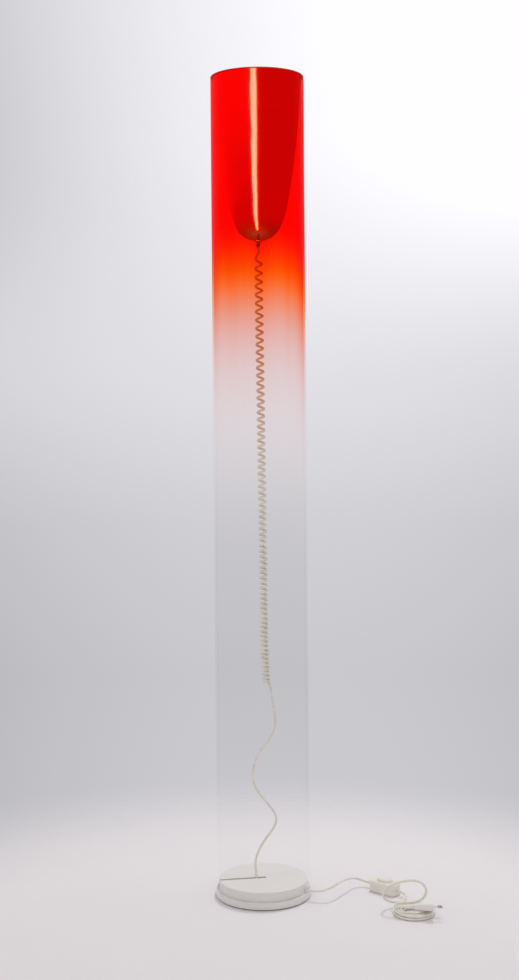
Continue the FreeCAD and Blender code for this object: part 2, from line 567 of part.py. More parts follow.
def make_bulb():
    """Opal bulb in the lampholder."""
    widest = f"({BULB_TOP} - Sizes.bulb_radius)"
    wall, neck = "Sizes.bulb_wall", "Sizes.bulb_neck_radius"
    return [
        turned("bulb_tip", [("0", BULB_TIP), ("Sizes.bulb_tip_radius", BULB_TIP),
                            ("Sizes.bulb_cap_radius - Sizes.bulb_wall", BULB_CAP), ("0", BULB_CAP)]),
        ring("bulb_cap", "0", "Sizes.bulb_cap_radius", BULB_CAP, BULB_NECK),
        turned("bulb_glass", [
            (f"{neck} - {wall}", BULB_NECK), (neck, BULB_NECK, "-Sizes.bulb_neck_bend"),
            ("Sizes.bulb_radius", widest, "Sizes.bulb_radius"), ("0", BULB_TOP),
            ("0", f"{BULB_TOP} - {wall}", f"-(Sizes.bulb_radius - {wall})"),
            (f"Sizes.bulb_radius - {wall}", widest, f"Sizes.bulb_neck_bend + {wall}")])]


# Cord inside the tube

def curl_curve():
    """Curve of the curls by number of turns: close at the foot, drawn out by their own weight above,
    on an axis that leans towards the foot, and straightening into the cord grip at the top."""
    start, end = sheet.curl_start_turns, sheet.curl_end_turns
    bottom, top = sheet.curl_bottom, number(GRIP_TIP) - sheet.cord_diameter
    eased = sheet.curl_start_rise * start / 3 + sheet.curl_end_rise * end / 3
    turns = (top - bottom - eased) / sheet.curl_pitch
    growth = math.log(sheet.curl_growth) / turns
    pitch = (top - bottom - eased) * growth / (sheet.curl_growth - 1)

    def curve(turn):
        begun = min(1, turn / start)
        done = max(0, (turn - turns + end) / end)
        angle = 2 * math.pi * (turn * begun / 2 if begun < 1 else turn - start / 2)
        height = (bottom + pitch * (math.exp(growth * turn) - 1) / growth
                  + sheet.curl_start_rise * start / 3 * (1 - (1 - begun) ** 3)
                  + sheet.curl_end_rise * end / 3 * done ** 3)
        radius = sheet.curl_radius * math.cos(math.pi / 2 * done) ** 2
        lean = sheet.curl_lean * (top - height) / (top - bottom) * (1 - done ** 2)
        kick = sheet.curl_kick * math.exp((bottom - height) / sheet.curl_kick_height)
        axis = lean + kick * (1 - done ** 2)
        return vector(axis + radius * math.cos(angle), radius * math.sin(angle), height)

    quarters = round(turns * 4)
    steps = [step for step in range(quarters)
             if step < FINE_QUARTERS or step > quarters - FINE_QUARTERS or step % 2 == 0]
    return curve, [turns * step / quarters for step in steps] + [turns]


def outwards(distance):
    """Point on the cord's line out of the base, by its distance from the lamp's axis."""
    turn = math.radians(sheet.exit_turn)
    return (distance * math.cos(turn), distance * math.sin(turn), number(EXIT_HEIGHT))


def make_inner_cord():
    """Cord from the base's slot up to the curls, the curls, and the stretch held inside the base."""
    curve, stations = curl_curve()
    foot = curve(0)
    way = (curve(NUDGE) - foot).normalize()
    tail_end = foot - way * sheet.cord_diameter
    tail_last = tail_end - way * sheet.cord_diameter * TAIL_END_DIAMETERS
    slot_turn = math.radians(180 + sheet.slot_turn)
    slot_x = sheet.slot_cord_offset * math.cos(slot_turn)
    slot_y = sheet.slot_cord_offset * math.sin(slot_turn)
    slot_top, level = number(COVER_TOP), number(EXIT_HEIGHT)
    tail = [(slot_x, slot_y, slot_top), (slot_x, slot_y, slot_top + SLOT_RUN), (-18.6, -2.2, 65),
            (-14.6, -1.8, 84), (-6, -1, 102.5), (6.5, 0, 120.5), (19.5, 1.4, 137), (28, 2.4, 151),
            (28.6, 2.6, 166.5), (20.2, 1.8, 181.5), (5.8, 0.6, 198.5), (-8.2, -1, 216.5), (-18, -2.2, 234),
            (-22, -2.8, 254), (-19.6, -2.4, 274.5), (-12.2, -1.6, 296.5), (0.8, -0.4, 316.5),
            (15.4, 1, 333.5), (26.4, 1.8, 351.5), (28.8, 2, 374), (25.8, 1.2, 399), tuple(tail_last),
            tuple(tail_end)]
    held = [(slot_x, slot_y, slot_top), (slot_x, slot_y, level), outwards(sheet.held_bend),
            outwards(number(BUSH_END))]
    return [cord("cord_in_base", held, HELD_END_SHARE), cord("inner_tail", tail),
            wound("curly_cord", curve, stations, sheet.cord_diameter)]


# Lead outside the lamp

def switch_end(side, beyond=0):
    """Point at the middle of the switch's end, on the level of its parting line."""
    turn = math.radians(sheet.switch_turn)
    reach = side * (sheet.switch_length / 2 + beyond)
    return (sheet.switch_x + reach * math.cos(turn), sheet.switch_y + reach * math.sin(turn),
            sheet.switch_split)


def coil_curve():
    """Curve of the coil by turns: spirals in on the floor, climbs a layer and spirals out again."""
    inward, climb = sheet.coil_turns_in, CLIMB_TURNS
    turns = inward + climb + sheet.coil_turns_out
    step, layer = sheet.cord_diameter + sheet.coil_gap, sheet.cord_diameter + sheet.coil_layer_gap
    floor = sheet.cord_diameter / 2 + sheet.coil_floor_gap
    inner = sheet.coil_radius - step * inward

    def curve(turn):
        past = min(1, max(0, (turn - inward) / climb))
        spread = max(0, inward - turn) + max(0, turn - inward - climb) - climb * past * (1 - past)
        radius = inner + step * spread
        height = floor + layer * (1 - math.cos(math.pi * past)) / 2
        angle = math.pi + 2 * math.pi * turn
        return vector(sheet.coil_x + radius * math.cos(angle), sheet.coil_y + radius * math.sin(angle),
                      height)

    quarters = round(turns * 4)
    return curve, [turns * step / quarters for step in range(quarters + 1)]


def make_lead():
    """Lead from the base to the switch, on to the coil, round the standing loop and into the plug."""
    reach = number(BUSH_END)
    to_switch = [outwards(reach), outwards(reach + EXIT_RUN), (133, -47, 24.5), (149.5, -37, 29),
                 (160.5, -19, 29.5), (172, 0.5, 28), (184.5, 19, 25), (196, 36.4, 20.5), (204.5, 41.5, 17),
                 (214.2, 42.7, 13.6), switch_end(-1, SWITCH_RUN_IN), switch_end(-1)]
    coil, stations = coil_curve()
    start_way = (coil(NUDGE) - coil(0)).normalize()
    end_way = (coil(stations[-1]) - coil(stations[-1] - NUDGE)).normalize()
    coil_start = coil(0) - start_way * sheet.cord_diameter
    coil_end = coil(stations[-1]) + end_way * sheet.cord_diameter
    to_coil = [switch_end(1), switch_end(1, SWITCH_RUN_OUT), (300.5, -33.5, 9), (301, -44.5, 7),
               (296, -55.5, 5), (288.5, -66, 3.8), (280.5, -77, 3.1), (273.5, -88.5, 2.8),
               tuple(coil_start - start_way * COIL_RUN_IN), tuple(coil_start)]
    relief_end = sheet.plug_x - sheet.relief_length
    loop = [tuple(coil_end), tuple(coil_end + end_way * COIL_RUN_OUT), (270, -83.5, 10.5), (255.5, -91, 17),
            (247.5, -100, 28), (247.5, -108, 41), (257, -113, 53), (273, -116, 61.5), (292, -117.5, 66.5),
            (311, -117.5, 67.5), (327, -116.5, 62.5), (336, -115, 51), (336.5, -113, 37.5),
            (328.5, -111.5, 26), (313, -110.5, 19.5), (296.5, -109.5, 18), (281, -110.5, 18.4),
            (270, -120.5, 19.4), (269.5, -135.5, 21), (relief_end - PLUG_RUN, sheet.plug_y, sheet.plug_z),
            (relief_end, sheet.plug_y, sheet.plug_z)]
    return [cord("lead_to_switch", to_switch), cord("lead_to_coil", to_coil),
            wound("lead_coil", coil, stations, sheet.cord_diameter), cord("lead_loop", loop)]


def button_outline(margin):
    """Corners of the foot switch's button with a margin all round."""
    return rounded(f"({BUTTON_HALF_LENGTH} + {margin})", f"({BUTTON_HALF_WIDTH} + {margin})",
                   f"(Sizes.button_corner + {margin})")


def make_switch():
    """Foot switch in the lead: two half cases, sprung button, contacts and screws."""
    corner, wall, split = "Sizes.switch_corner", "Sizes.switch_wall", "Sizes.switch_split"
    half_length = "(Sizes.switch_length / 2)"
    half_width = f"({BUTTON_HALF_WIDTH} + Sizes.button_lip + Sizes.button_gap + {wall})"
    inner = (f"({half_length} - {wall})", f"({half_width} - {wall})", f"({corner} - {wall})")
    upper_height = f"(Sizes.switch_height - {split})"
    lower = padded("lower_block", rounded(half_length, half_width, corner), "0", split)
    lower_room = padded("lower_room", rounded(*inner), wall, f"{split} - {wall}")
    upper = padded("upper_block", rounded(half_length, half_width, corner), split, upper_height)
    upper_room = padded("upper_room", rounded(*inner), split, f"{upper_height} - {wall}")
    document.recompute()
    soften(upper, "Sizes.switch_edge", [number("Sizes.switch_height")])
    shells = [cut("lower_shell", lower, lower_room), cut("upper_shell", upper, upper_room)]
    posts, holes, screws = [[], []], [[], []], []
    hole = "Sizes.case_screw_radius + Sizes.screw_clearance"
    for side in (-1, 1):
        x = f"{side} * ({half_length} - {wall} - Sizes.case_post_radius - Sizes.case_post_inset)"
        posts[0].append(rod(f"lower_post_{side}", "Sizes.case_post_radius", split, x))
        posts[1].append(rod(f"upper_post_{side}", "Sizes.case_post_radius", f"{CASE_INSIDE} - {split}", x,
                            z=split))
        holes[0] += [rod(f"lower_hole_{side}", hole, split, x),
                     rod(f"lower_recess_{side}", "Sizes.case_head_radius + Sizes.head_clearance",
                         "Sizes.case_head_depth", x)]
        holes[1].append(rod(f"upper_hole_{side}", hole, "Sizes.case_screw_length + Sizes.case_head_depth "
                            f"- {split} + Sizes.screw_clearance", x, z=split))
        screws.append(screw(f"case_screw_{side}", "Sizes.case_screw_radius", "Sizes.case_head_radius",
                            "Sizes.case_head_depth", "Sizes.case_screw_length", "Sizes.case_head_height", x))
    button_hole = padded("button_hole", button_outline("Sizes.button_clearance"), "0", "Sizes.switch_height")
    names = ("switch_lower_case", "switch_upper_case")
    nodes = [cut(name, gathered("Part::MultiFuse", name + "_body", [shell] + post), *tools)
             for name, shell, post, tools in zip(names, shells, posts, (holes[0], holes[1] + [button_hole]))]
    nodes.append(gathered("Part::Compound", "switch_screws", screws))
    top = "(Sizes.switch_height + Sizes.button_rise)"
    crown = padded("button_crown", button_outline("0"), LIP_FOOT, f"{top} - {LIP_FOOT}")
    flange = padded("button_flange", button_outline("Sizes.button_lip"), LIP_FOOT, "Sizes.button_lip_height")
    hollow = rod("button_hollow", BUTTON_CAVITY, "Sizes.button_cavity_depth", z=LIP_FOOT)
    document.recompute()
    soften(crown, "Sizes.button_edge", [number(top)])
    nodes.append(cut("switch_button", gathered("Part::MultiFuse", "button_body", [crown, flange]), hollow))
    blade_height = f"({LIP_FOOT} - Sizes.button_travel - Sizes.contact_gap - {wall})"
    blade_offset = f"({BUTTON_CAVITY} + {BUTTON_HALF_LENGTH}) / 2"
    nodes.append(gathered("Part::Compound", "switch_contacts", [
        block(f"contact_{side}", "Sizes.contact_width", "Sizes.contact_width", blade_height,
              f"{side} * {blade_offset} - Sizes.contact_width / 2", "-Sizes.contact_width / 2", wall)
        for side in (-1, 1)]))
    nodes.append(make_spring(number(f"{wall} + Sizes.spring_clearance"),
                             number(f"{LIP_FOOT} + Sizes.button_cavity_depth - Sizes.spring_clearance")))
    turn = FreeCAD.Rotation(FreeCAD.Vector(0, 0, 1), sheet.switch_turn)
    for node in nodes:
        node.Placement = FreeCAD.Placement(vector(sheet.switch_x, sheet.switch_y, 0), turn)
    return nodes


def make_spring(foot, top):
    """Spring under the button, between the lower case's floor and the button's cavity."""
    wire, turns = sheet.spring_wire, sheet.spring_turns
    rise = top - foot - wire

    def curve(turn):
        angle = 2 * math.pi * turn
        return vector(sheet.spring_radius * math.cos(angle), sheet.spring_radius * math.sin(angle),
                      foot + wire / 2 + rise * turn / turns)

    halves = round(turns * 2)
    stations = [turns * step / halves for step in range(halves + 1)]
    edges = wound_route(curve, stations, wire)[1:-1]
    print(f"switch_spring: least gap to itself {least_self_gap(edges, wire):.2f}")
    return tube_along("switch_spring", edges, wire)


def soften(body, radius, levels):
    """Fillet the edges of a body's last feature that lie flat on the given levels."""
    base = body.Tip
    names = []
    for index, edge in enumerate(base.Shape.Edges, start=1):
        box = edge.BoundBox
        if any(max(abs(box.ZMin - level), abs(box.ZMax - level)) < NO_LENGTH for level in levels):
            names.append(f"Edge{index}")
    fillet = body.newObject("PartDesign::Fillet", body.Label + "_edge")
    fillet.Base = (base, names)
    fillet.setExpression("Radius", radius)


def make_plug():
    """Flat two-pin plug that lies on the coil, with its pins, their sleeves and the strain relief."""
    rear, neck, front = (f"(Sizes.{name} / 2)"
                         for name in ("plug_rear_width", "plug_neck_width", "plug_width"))
    half_thickness = "(Sizes.plug_thickness / 2)"
    body = padded("plug_body", [
        ("0", f"-{rear}"), ("Sizes.plug_neck", f"-{neck}"), ("Sizes.plug_shoulder", f"-{front}"),
        ("Sizes.plug_length", f"-{front}"), ("Sizes.plug_length", front), ("Sizes.plug_shoulder", front),
        ("Sizes.plug_neck", neck), ("0", rear)], f"-{half_thickness}", "Sizes.plug_thickness")
    document.recompute()
    soften(body, "Sizes.plug_edge", [-number(half_thickness), number(half_thickness)])
    cone = bind(add("Part::Cone", "plug_relief"), Radius1="Sizes.relief_tip", Radius2="Sizes.relief_radius",
                Height="Sizes.relief_length")
    nodes = [body, cone]
    pins, sleeves = [], []
    tip_start = "(Sizes.plug_length + Sizes.pin_sleeve_length)"
    pin_end = "(Sizes.plug_length + Sizes.pin_length)"
    for side in (-1, 1):
        core = rod_along(f"pin_core_{side}", "Sizes.pin_core_radius", "Sizes.plug_length", tip_start, "0")
        tip = rod_along(f"pin_tip_{side}", "Sizes.pin_radius", tip_start, pin_end, "0")
        tube = rod_along(f"pin_tube_{side}", "Sizes.pin_sleeve_radius", "Sizes.plug_length", tip_start, "0")
        bore = rod_along(f"pin_bore_{side}", "Sizes.pin_core_radius", "Sizes.plug_length", tip_start, "0")
        pins.append(gathered("Part::MultiFuse", f"pin_{side}", [core, tip]))
        sleeves.append(cut(f"sleeve_{side}", tube, bore))
        for piece in (pins[-1], sleeves[-1]):
            shift(piece, y=f"{side} * Sizes.pin_spacing / 2")
    nodes.append(gathered("Part::Compound", "plug_pins", pins))
    nodes.append(gathered("Part::Compound", "pin_sleeves", sleeves))
    place = FreeCAD.Placement(vector(sheet.plug_x, sheet.plug_y, sheet.plug_z),
                              FreeCAD.Rotation(FreeCAD.Vector(1, 0, 0), sheet.plug_tilt))
    for node in nodes:
        node.Placement = place
    cone.Placement = place * FreeCAD.Placement(vector(-sheet.relief_length, 0, 0),
                                               FreeCAD.Rotation(FreeCAD.Vector(0, 1, 0), 90))
    return nodes


def check(nodes):
    """Stop if any feature failed or any sub-part has no sound shape."""
    document.recompute()
    failed = [item.Label for item in document.Objects if {"Invalid", "Error"} & set(item.State)]
    unsound = [node.Label for node in nodes if node.Shape.isNull() or not node.Shape.isValid()]
    if failed or unsound:
        raise ValueError(f"failed features {failed}, unsound shapes {unsound}")


def main():
    """Build every sub-part, check it and write it to its own file."""
    nodes = (make_base() + make_cord_exit() + make_tube() + make_reflector() + make_lampholder() + make_bulb()
             + make_inner_cord() + make_lead() + make_switch() + make_plug())
    check(nodes)
    os.makedirs("parts", exist_ok=True)
    for node in nodes:
        node.Shape.exportStep(f"parts/{node.Label}.step")
        print(f"{node.Label}: {len(node.Shape.Solids)} solids, volume {node.Shape.Volume:.1f}")


main()
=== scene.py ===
import json
import math

import bmesh
import bpy
from bpy.props import FloatProperty, FloatVectorProperty, IntProperty, PointerProperty
from mathutils import Matrix, Vector


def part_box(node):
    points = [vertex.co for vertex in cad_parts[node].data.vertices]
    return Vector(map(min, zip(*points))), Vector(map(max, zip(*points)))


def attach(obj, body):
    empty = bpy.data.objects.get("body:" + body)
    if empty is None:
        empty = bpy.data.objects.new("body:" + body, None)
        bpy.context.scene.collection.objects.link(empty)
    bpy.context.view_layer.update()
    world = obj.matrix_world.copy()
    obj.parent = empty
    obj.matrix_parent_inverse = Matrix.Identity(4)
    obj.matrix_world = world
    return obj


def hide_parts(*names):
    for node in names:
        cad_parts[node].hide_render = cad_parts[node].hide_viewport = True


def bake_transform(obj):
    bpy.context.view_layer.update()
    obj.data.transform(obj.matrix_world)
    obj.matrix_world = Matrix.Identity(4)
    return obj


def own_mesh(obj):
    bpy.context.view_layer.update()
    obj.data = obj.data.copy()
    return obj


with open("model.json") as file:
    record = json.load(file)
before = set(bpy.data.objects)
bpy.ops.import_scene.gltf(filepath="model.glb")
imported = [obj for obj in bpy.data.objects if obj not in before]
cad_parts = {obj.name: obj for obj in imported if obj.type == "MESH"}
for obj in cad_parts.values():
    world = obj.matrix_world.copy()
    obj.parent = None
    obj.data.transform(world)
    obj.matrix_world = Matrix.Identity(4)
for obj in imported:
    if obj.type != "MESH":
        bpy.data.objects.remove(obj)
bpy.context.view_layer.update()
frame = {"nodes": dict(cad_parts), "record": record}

bl_info = {
    "name": "Tube floor lamp",
    "version": (1, 0, 0),
    "blender": (4, 5, 0),
    "location": "View3D > Sidebar > Lamp",
    "description": "Dresses the packed tube floor lamp with its finished pieces, finishes and studio",
    "category": "Object",
}

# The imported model's box and the places that the finished pieces share with it
TUBE_LOW, TUBE_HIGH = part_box("tube")
FLANGE_LOW, FLANGE_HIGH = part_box("base_plate")
COVER_LOW, COVER_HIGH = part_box("base_cover")
REFLECTOR_LOW, REFLECTOR_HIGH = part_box("reflector")
GRIP_LOW, GRIP_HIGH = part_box("cord_grip")
GLASS_LOW, GLASS_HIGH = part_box("bulb_glass")
CASE_LOW, CASE_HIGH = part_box("switch_lower_case")
SWITCH_MIDDLE, SWITCH_TURN = (CASE_LOW + CASE_HIGH) / 2, math.radians(-42)
PLUG_SPOT, PLUG_TURN = (0.3085, -0.146, 0.0225), math.radians(-15)

# The reflector's profile: radius and rise of its dome and shoulder, and the bow of each stretch, in metres
NOSE_BORE, NOSE_RADIUS, MOUTH_RADIUS = 0.0051, 0.010, 0.095
DOME_RADIUS, DOME_RISE, SHOULDER_RADIUS, SHOULDER_RISE = 0.0485, 0.029, 0.0636, 0.074
DOME_BOW, SHOULDER_BOW, SIDE_BOW = 0.049, 0.211, 1.830

# The bulb's neck in metres, and the angle at which its ball begins
NECK_RADIUS, NECK_HEIGHT, BALL_START = 0.012, 0.003, math.radians(-38)

# How finely round pieces are made, and how far a cutting tool reaches past what it cuts
TUBE_SEGMENTS, ROUND_SEGMENTS, BULB_SEGMENTS, SMALL_SEGMENTS = 256, 192, 96, 40
SPARE = 0.01
# For a section drawn out along X, and for a turned piece laid along X
ALONG_X = Matrix(((0, 0, 1, 0), (1, 0, 0, 0), (0, 1, 0, 0), (0, 0, 0, 1)))
TURN_TO_X = Matrix.Rotation(math.pi / 2, 4, "Y")

# The curly cord, in millimetres: its ends, mean pitch and radius
CURL_LOW, CURL_HIGH, CURL_PITCH, CURL_RADIUS = 443.0, 1386.8, 13.15, 6.9
# How many turns its ends take to ease in and out, and how much a turn rises there
CURL_START, CURL_END, CURL_START_RISE, CURL_END_RISE = 0.5, 1.25, 36.0, 35.0
# How much the pitch grows upwards, and how far the axis leans and kicks out at the foot
CURL_GROWTH, CURL_LEAN, CURL_KICK, CURL_KICK_FADE = 2.3, 6.7, 4.5, 32.0
CURL_EASED = (CURL_START_RISE * CURL_START + CURL_END_RISE * CURL_END) / 3
CURL_TURNS = (CURL_HIGH - CURL_LOW - CURL_EASED) / CURL_PITCH
CURL_POINTS = 14
# Where the cord stands in the slot, and how far it rises straight
TAIL_REACH, TAIL_RISE = 15.4, 12.0

# The wound coil, in millimetres: middle, inner radius, a lap's step outwards, height and upper layer's rise
COIL_X, COIL_Y, COIL_RADIUS, COIL_STEP, COIL_HEIGHT, COIL_RISE = 309.5, -122.0, 23.5, 5.8, 2.7, 5.7
# Laps on the floor, turns of the climb, turns in all, and the straight runs into and out of the coil
COIL_LAPS, COIL_CLIMB, COIL_TURNS, COIL_RUN_IN, COIL_RUN_OUT = 3.0, 0.5, 6.75, 19.2, 20.2
COIL_POINTS = 16
# Where the lead starts and ends its straight run from the base, and its straight runs at the switch
LEAD_START, LEAD_STRAIGHT, SWITCH_RUN_IN, SWITCH_RUN_OUT = 104.0, 123.0, 16.3, 12.0
# A millimetre in metres, and the share of a turn over which a winding's direction is taken
MM, NEAR = 0.001, 0.0001

# Places, aims and sizes of the studio's lamps, in metres
KEY_SPOT, KEY_AIM, KEY_SIZE = (0.55, 1.1, 2.4), (0.15, 0.0, 0.0), (0.4, 0.4)
GLINT_SPOT, GLINT_AIM, GLINT_SIZE = (-0.55, -3.1, -2.3), (0, 0, -2.3), (0.82, 9.4)
GLINT_COLOUR = (1.0, 1.0, 0.72)
# Brightness of the background from low to high
BACKDROP = ((0.0, 0.60), (0.18, 0.585), (0.35, 0.635), (0.48, 0.73), (0.57, 0.78), (0.68, 0.85), (0.8, 0.92),
            (1.0, 0.95))


def length(name, description, default):
    """A size property in metres."""
    return FloatProperty(name=name, description=description, default=default, unit="LENGTH", precision=5)


def turn(name, description, degrees):
    """An angle property."""
    return FloatProperty(name=name, description=description, default=math.radians(degrees),
                         unit="ROTATION", subtype="ANGLE")


def power(name, description, watts):
    """A lamp's power property."""
    return FloatProperty(name=name, description=description, default=watts, min=0, unit="POWER")


def colour(name, description, default):
    """A colour property, in linear light."""
    return FloatVectorProperty(name=name, description=description, default=default, size=3,
                               subtype="COLOR", min=0, max=1)


class LampSizes(bpy.types.PropertyGroup):
    """Sizes of the lamp's pieces"""
    tube_radius: length("Tube radius", "Outside radius of the clear tube", TUBE_HIGH.x)
    tube_wall: length("Tube wall", "Wall of the clear tube", 0.004)
    tube_rim: length("Tube rim", "Rounding of the tube's polished ends", 0.0009)
    notch_radius: length("Lead notch", "Radius of the arched notch for the lead", 0.0046)
    exit_height: length("Lead height", "Height of the lead where it leaves the base", 0.0205)
    exit_turn: turn("Lead direction", "Direction in which the lead leaves the base", -22)
    flange_edge: length("Flange edge", "Rounding of the white flange", 0.0012)
    cap_edge: length("Cap edge", "Rounding of the white cap inside the tube", 0.0022)
    cap_wall: length("Cap wall", "Wall of the white cap", 0.003)
    slot_width: length("Slot width", "Width of the cap's cord slot", 0.008)
    slot_reach: length("Slot reach", "How far the slot passes the middle of the cap", 0.0065)
    slot_turn: turn("Slot direction", "Direction in which the slot opens", 189)
    reflector_wall: length("Reflector wall", "Sheet thickness of the spun reflector", 0.0012)
    cord_radius: length("Cord radius", "Radius of the round cord", 0.0026)
    switch_length: length("Switch length", "Length of the foot switch", 0.068)
    switch_width: length("Switch width", "Width of the foot switch", 0.034)
    switch_corner: length("Switch corner", "Corner radius of the foot switch", 0.011)
    switch_split: length("Switch seam", "Height of the seam between the switch's shells", 0.011)
    switch_height: length("Switch height", "Height of the switch's upper shell", 0.024)
    switch_edge: length("Switch edge", "Rounding of the upper shell and of the button", 0.004)
    button_length: length("Button length", "Length of the raised button", 0.035)
    button_width: length("Button width", "Width of the raised button", 0.024)
    button_rise: length("Button rise", "How far the button stands above the shell", 0.007)
    plug_length: length("Plug length", "Length of the plug's body", 0.037)
    plug_width: length("Plug width", "Width of the plug's body", 0.0353)
    plug_thickness: length("Plug thickness", "Thickness of the plug's body", 0.0137)
    pin_spacing: length("Pin spacing", "Distance between the plug's pins", 0.0186)
    relief_ribs: IntProperty(name="Relief ribs", description="Ribs on the plug's strain relief",
                             default=6, min=1, max=20)


class LampColours(bpy.types.PropertyGroup):
    """Colours of the lamp's finishes"""
    lacquer: colour("Base lacquer", "White lacquer of the base", (0.77, 0.745, 0.725))
    cord: colour("Cord", "Cream sheath of the cords", (0.82, 0.785, 0.70))
    switch: colour("Switch", "Moulded plastic of the foot switch", (0.83, 0.79, 0.725))
    plug: colour("Plug", "Moulded plastic of the plug", (0.82, 0.79, 0.735))
    aluminium: colour("Reflector", "Spun aluminium of the reflector", (0.90, 0.90, 0.89))
    opal: colour("Bulb", "Opal glass of the bulb", (0.90, 0.89, 0.86))
    felt: colour("Felt", "Felt under the base", (0.32, 0.315, 0.31))
    floor: colour("Floor", "Pale studio floor", (0.80, 0.775, 0.79))


class LampStudio(bpy.types.PropertyGroup):
    """Camera and light of the studio"""
    camera_distance: length("Camera distance", "Distance from the lamp's axis to the camera", 3.0)
    camera_height: length("Camera height", "Height of the camera above the floor", 1.068)
    camera_lens: FloatProperty(name="Lens", description="Focal length in millimetres", default=51.24,
                               unit="CAMERA")
    camera_roll: turn("Camera roll", "Tilt of the picture", 0.49)
    camera_shift: FloatProperty(name="Shift", description="Vertical shift of the frame", default=-0.0945)
    room_light: FloatProperty(name="Room light", description="Strength of the soft light all round",
                              default=0.71, min=0)
    key_power: power("Key light", "Power of the lamp above the floor", 18)
    glint_power: power("Glint", "Power of the tall lamp that the reflector mirrors", 342)
    floor_reach: length("Floor reach", "Radius at which the floor begins to fade", 0.62)
    floor_fade: length("Floor fade", "Radius at which the floor has faded", 1.3)
    floor_middle: length("Floor middle", "Place of the floor's middle along Y", -0.35)


# Node shorthand

def put(tree, kind, inputs=None, **settings):
    """A node with its settings made and its inputs linked or set."""
    node = tree.nodes.new(kind)
    for key, value in settings.items():
        setattr(node, key, value)
    for key, value in (inputs or {}).items():
        socket = node.inputs[key]
        if isinstance(value, bpy.types.NodeSocket):
            tree.links.new(value, socket)
        elif socket.type == "RGBA":
            socket.default_value = (*value[:3], 1.0)
        else:
            socket.default_value = value
    return node


def out(tree, kind, inputs=None, **settings):
    """The first output of a new node."""
    return put(tree, kind, inputs, **settings).outputs[0]


def maths(tree, operation, *values):
    """One Math node's result."""
    return out(tree, "ShaderNodeMath", dict(enumerate(values)), operation=operation)


def times(tree, first, second):
    """The product of two values."""
    return maths(tree, "MULTIPLY", first, second)


def between(tree, value, low, high, first=0.0, last=1.0, smooth=True):
    """A value that goes from first to last as the input goes from low to high."""
    return out(tree, "ShaderNodeMapRange", {"Value": value, "From Min": low, "From Max": high,
                                            "To Min": first, "To Max": last},
               interpolation_type="SMOOTHSTEP" if smooth else "LINEAR")


def mixed(tree, factor, first, second):
    """Two colours mixed by a factor."""
    return put(tree, "ShaderNodeMix", {0: factor, 6: first, 7: second}, data_type="RGBA").outputs[2]


def blended(tree, factor, first, second):
    """Two shaders mixed by a factor."""
    return out(tree, "ShaderNodeMixShader", {0: factor, 1: first, 2: second})


def surface_point(tree, scale=(1, 1, 1)):
    """Object coordinates, stretched by a scale."""
    point = put(tree, "ShaderNodeTexCoord").outputs["Object"]
    return out(tree, "ShaderNodeMapping", {"Vector": point, "Scale": scale})


def parts_of(tree, vector):
    """The X, Y and Z of a vector."""
    return put(tree, "ShaderNodeSeparateXYZ", {"Vector": vector}).outputs


def speckle(tree, scale, detail=3.0, stretch=(1, 1, 1)):
    """Noise over the surface, from 0 to 1."""
    return out(tree, "ShaderNodeTexNoise", {"Vector": surface_point(tree, stretch), "Scale": scale,
                                            "Detail": detail, "Roughness": 0.55})


def varied(tree, scale, first, last):
    """A value that wanders between two ends over the surface."""
    return between(tree, speckle(tree, scale), 0.3, 0.7, first, last)


def mottled(tree, pattern, base, low, high):
    """A colour that a pattern makes darker and lighter."""
    return mixed(tree, pattern, [c * low for c in base], [min(1.0, c * high) for c in base])


def surface(tree, tone, roughness, grain=None, extra=None):
    """A Principled shader; the grain is a height with its strength and depth."""
    inputs = {"Base Color": tone, "Roughness": roughness, **(extra or {})}
    if grain:
        bump = dict(zip(("Height", "Strength", "Distance"), grain))
        inputs["Normal"] = out(tree, "ShaderNodeBump", bump)
    return out(tree, "ShaderNodeBsdfPrincipled", inputs)


# Finishes

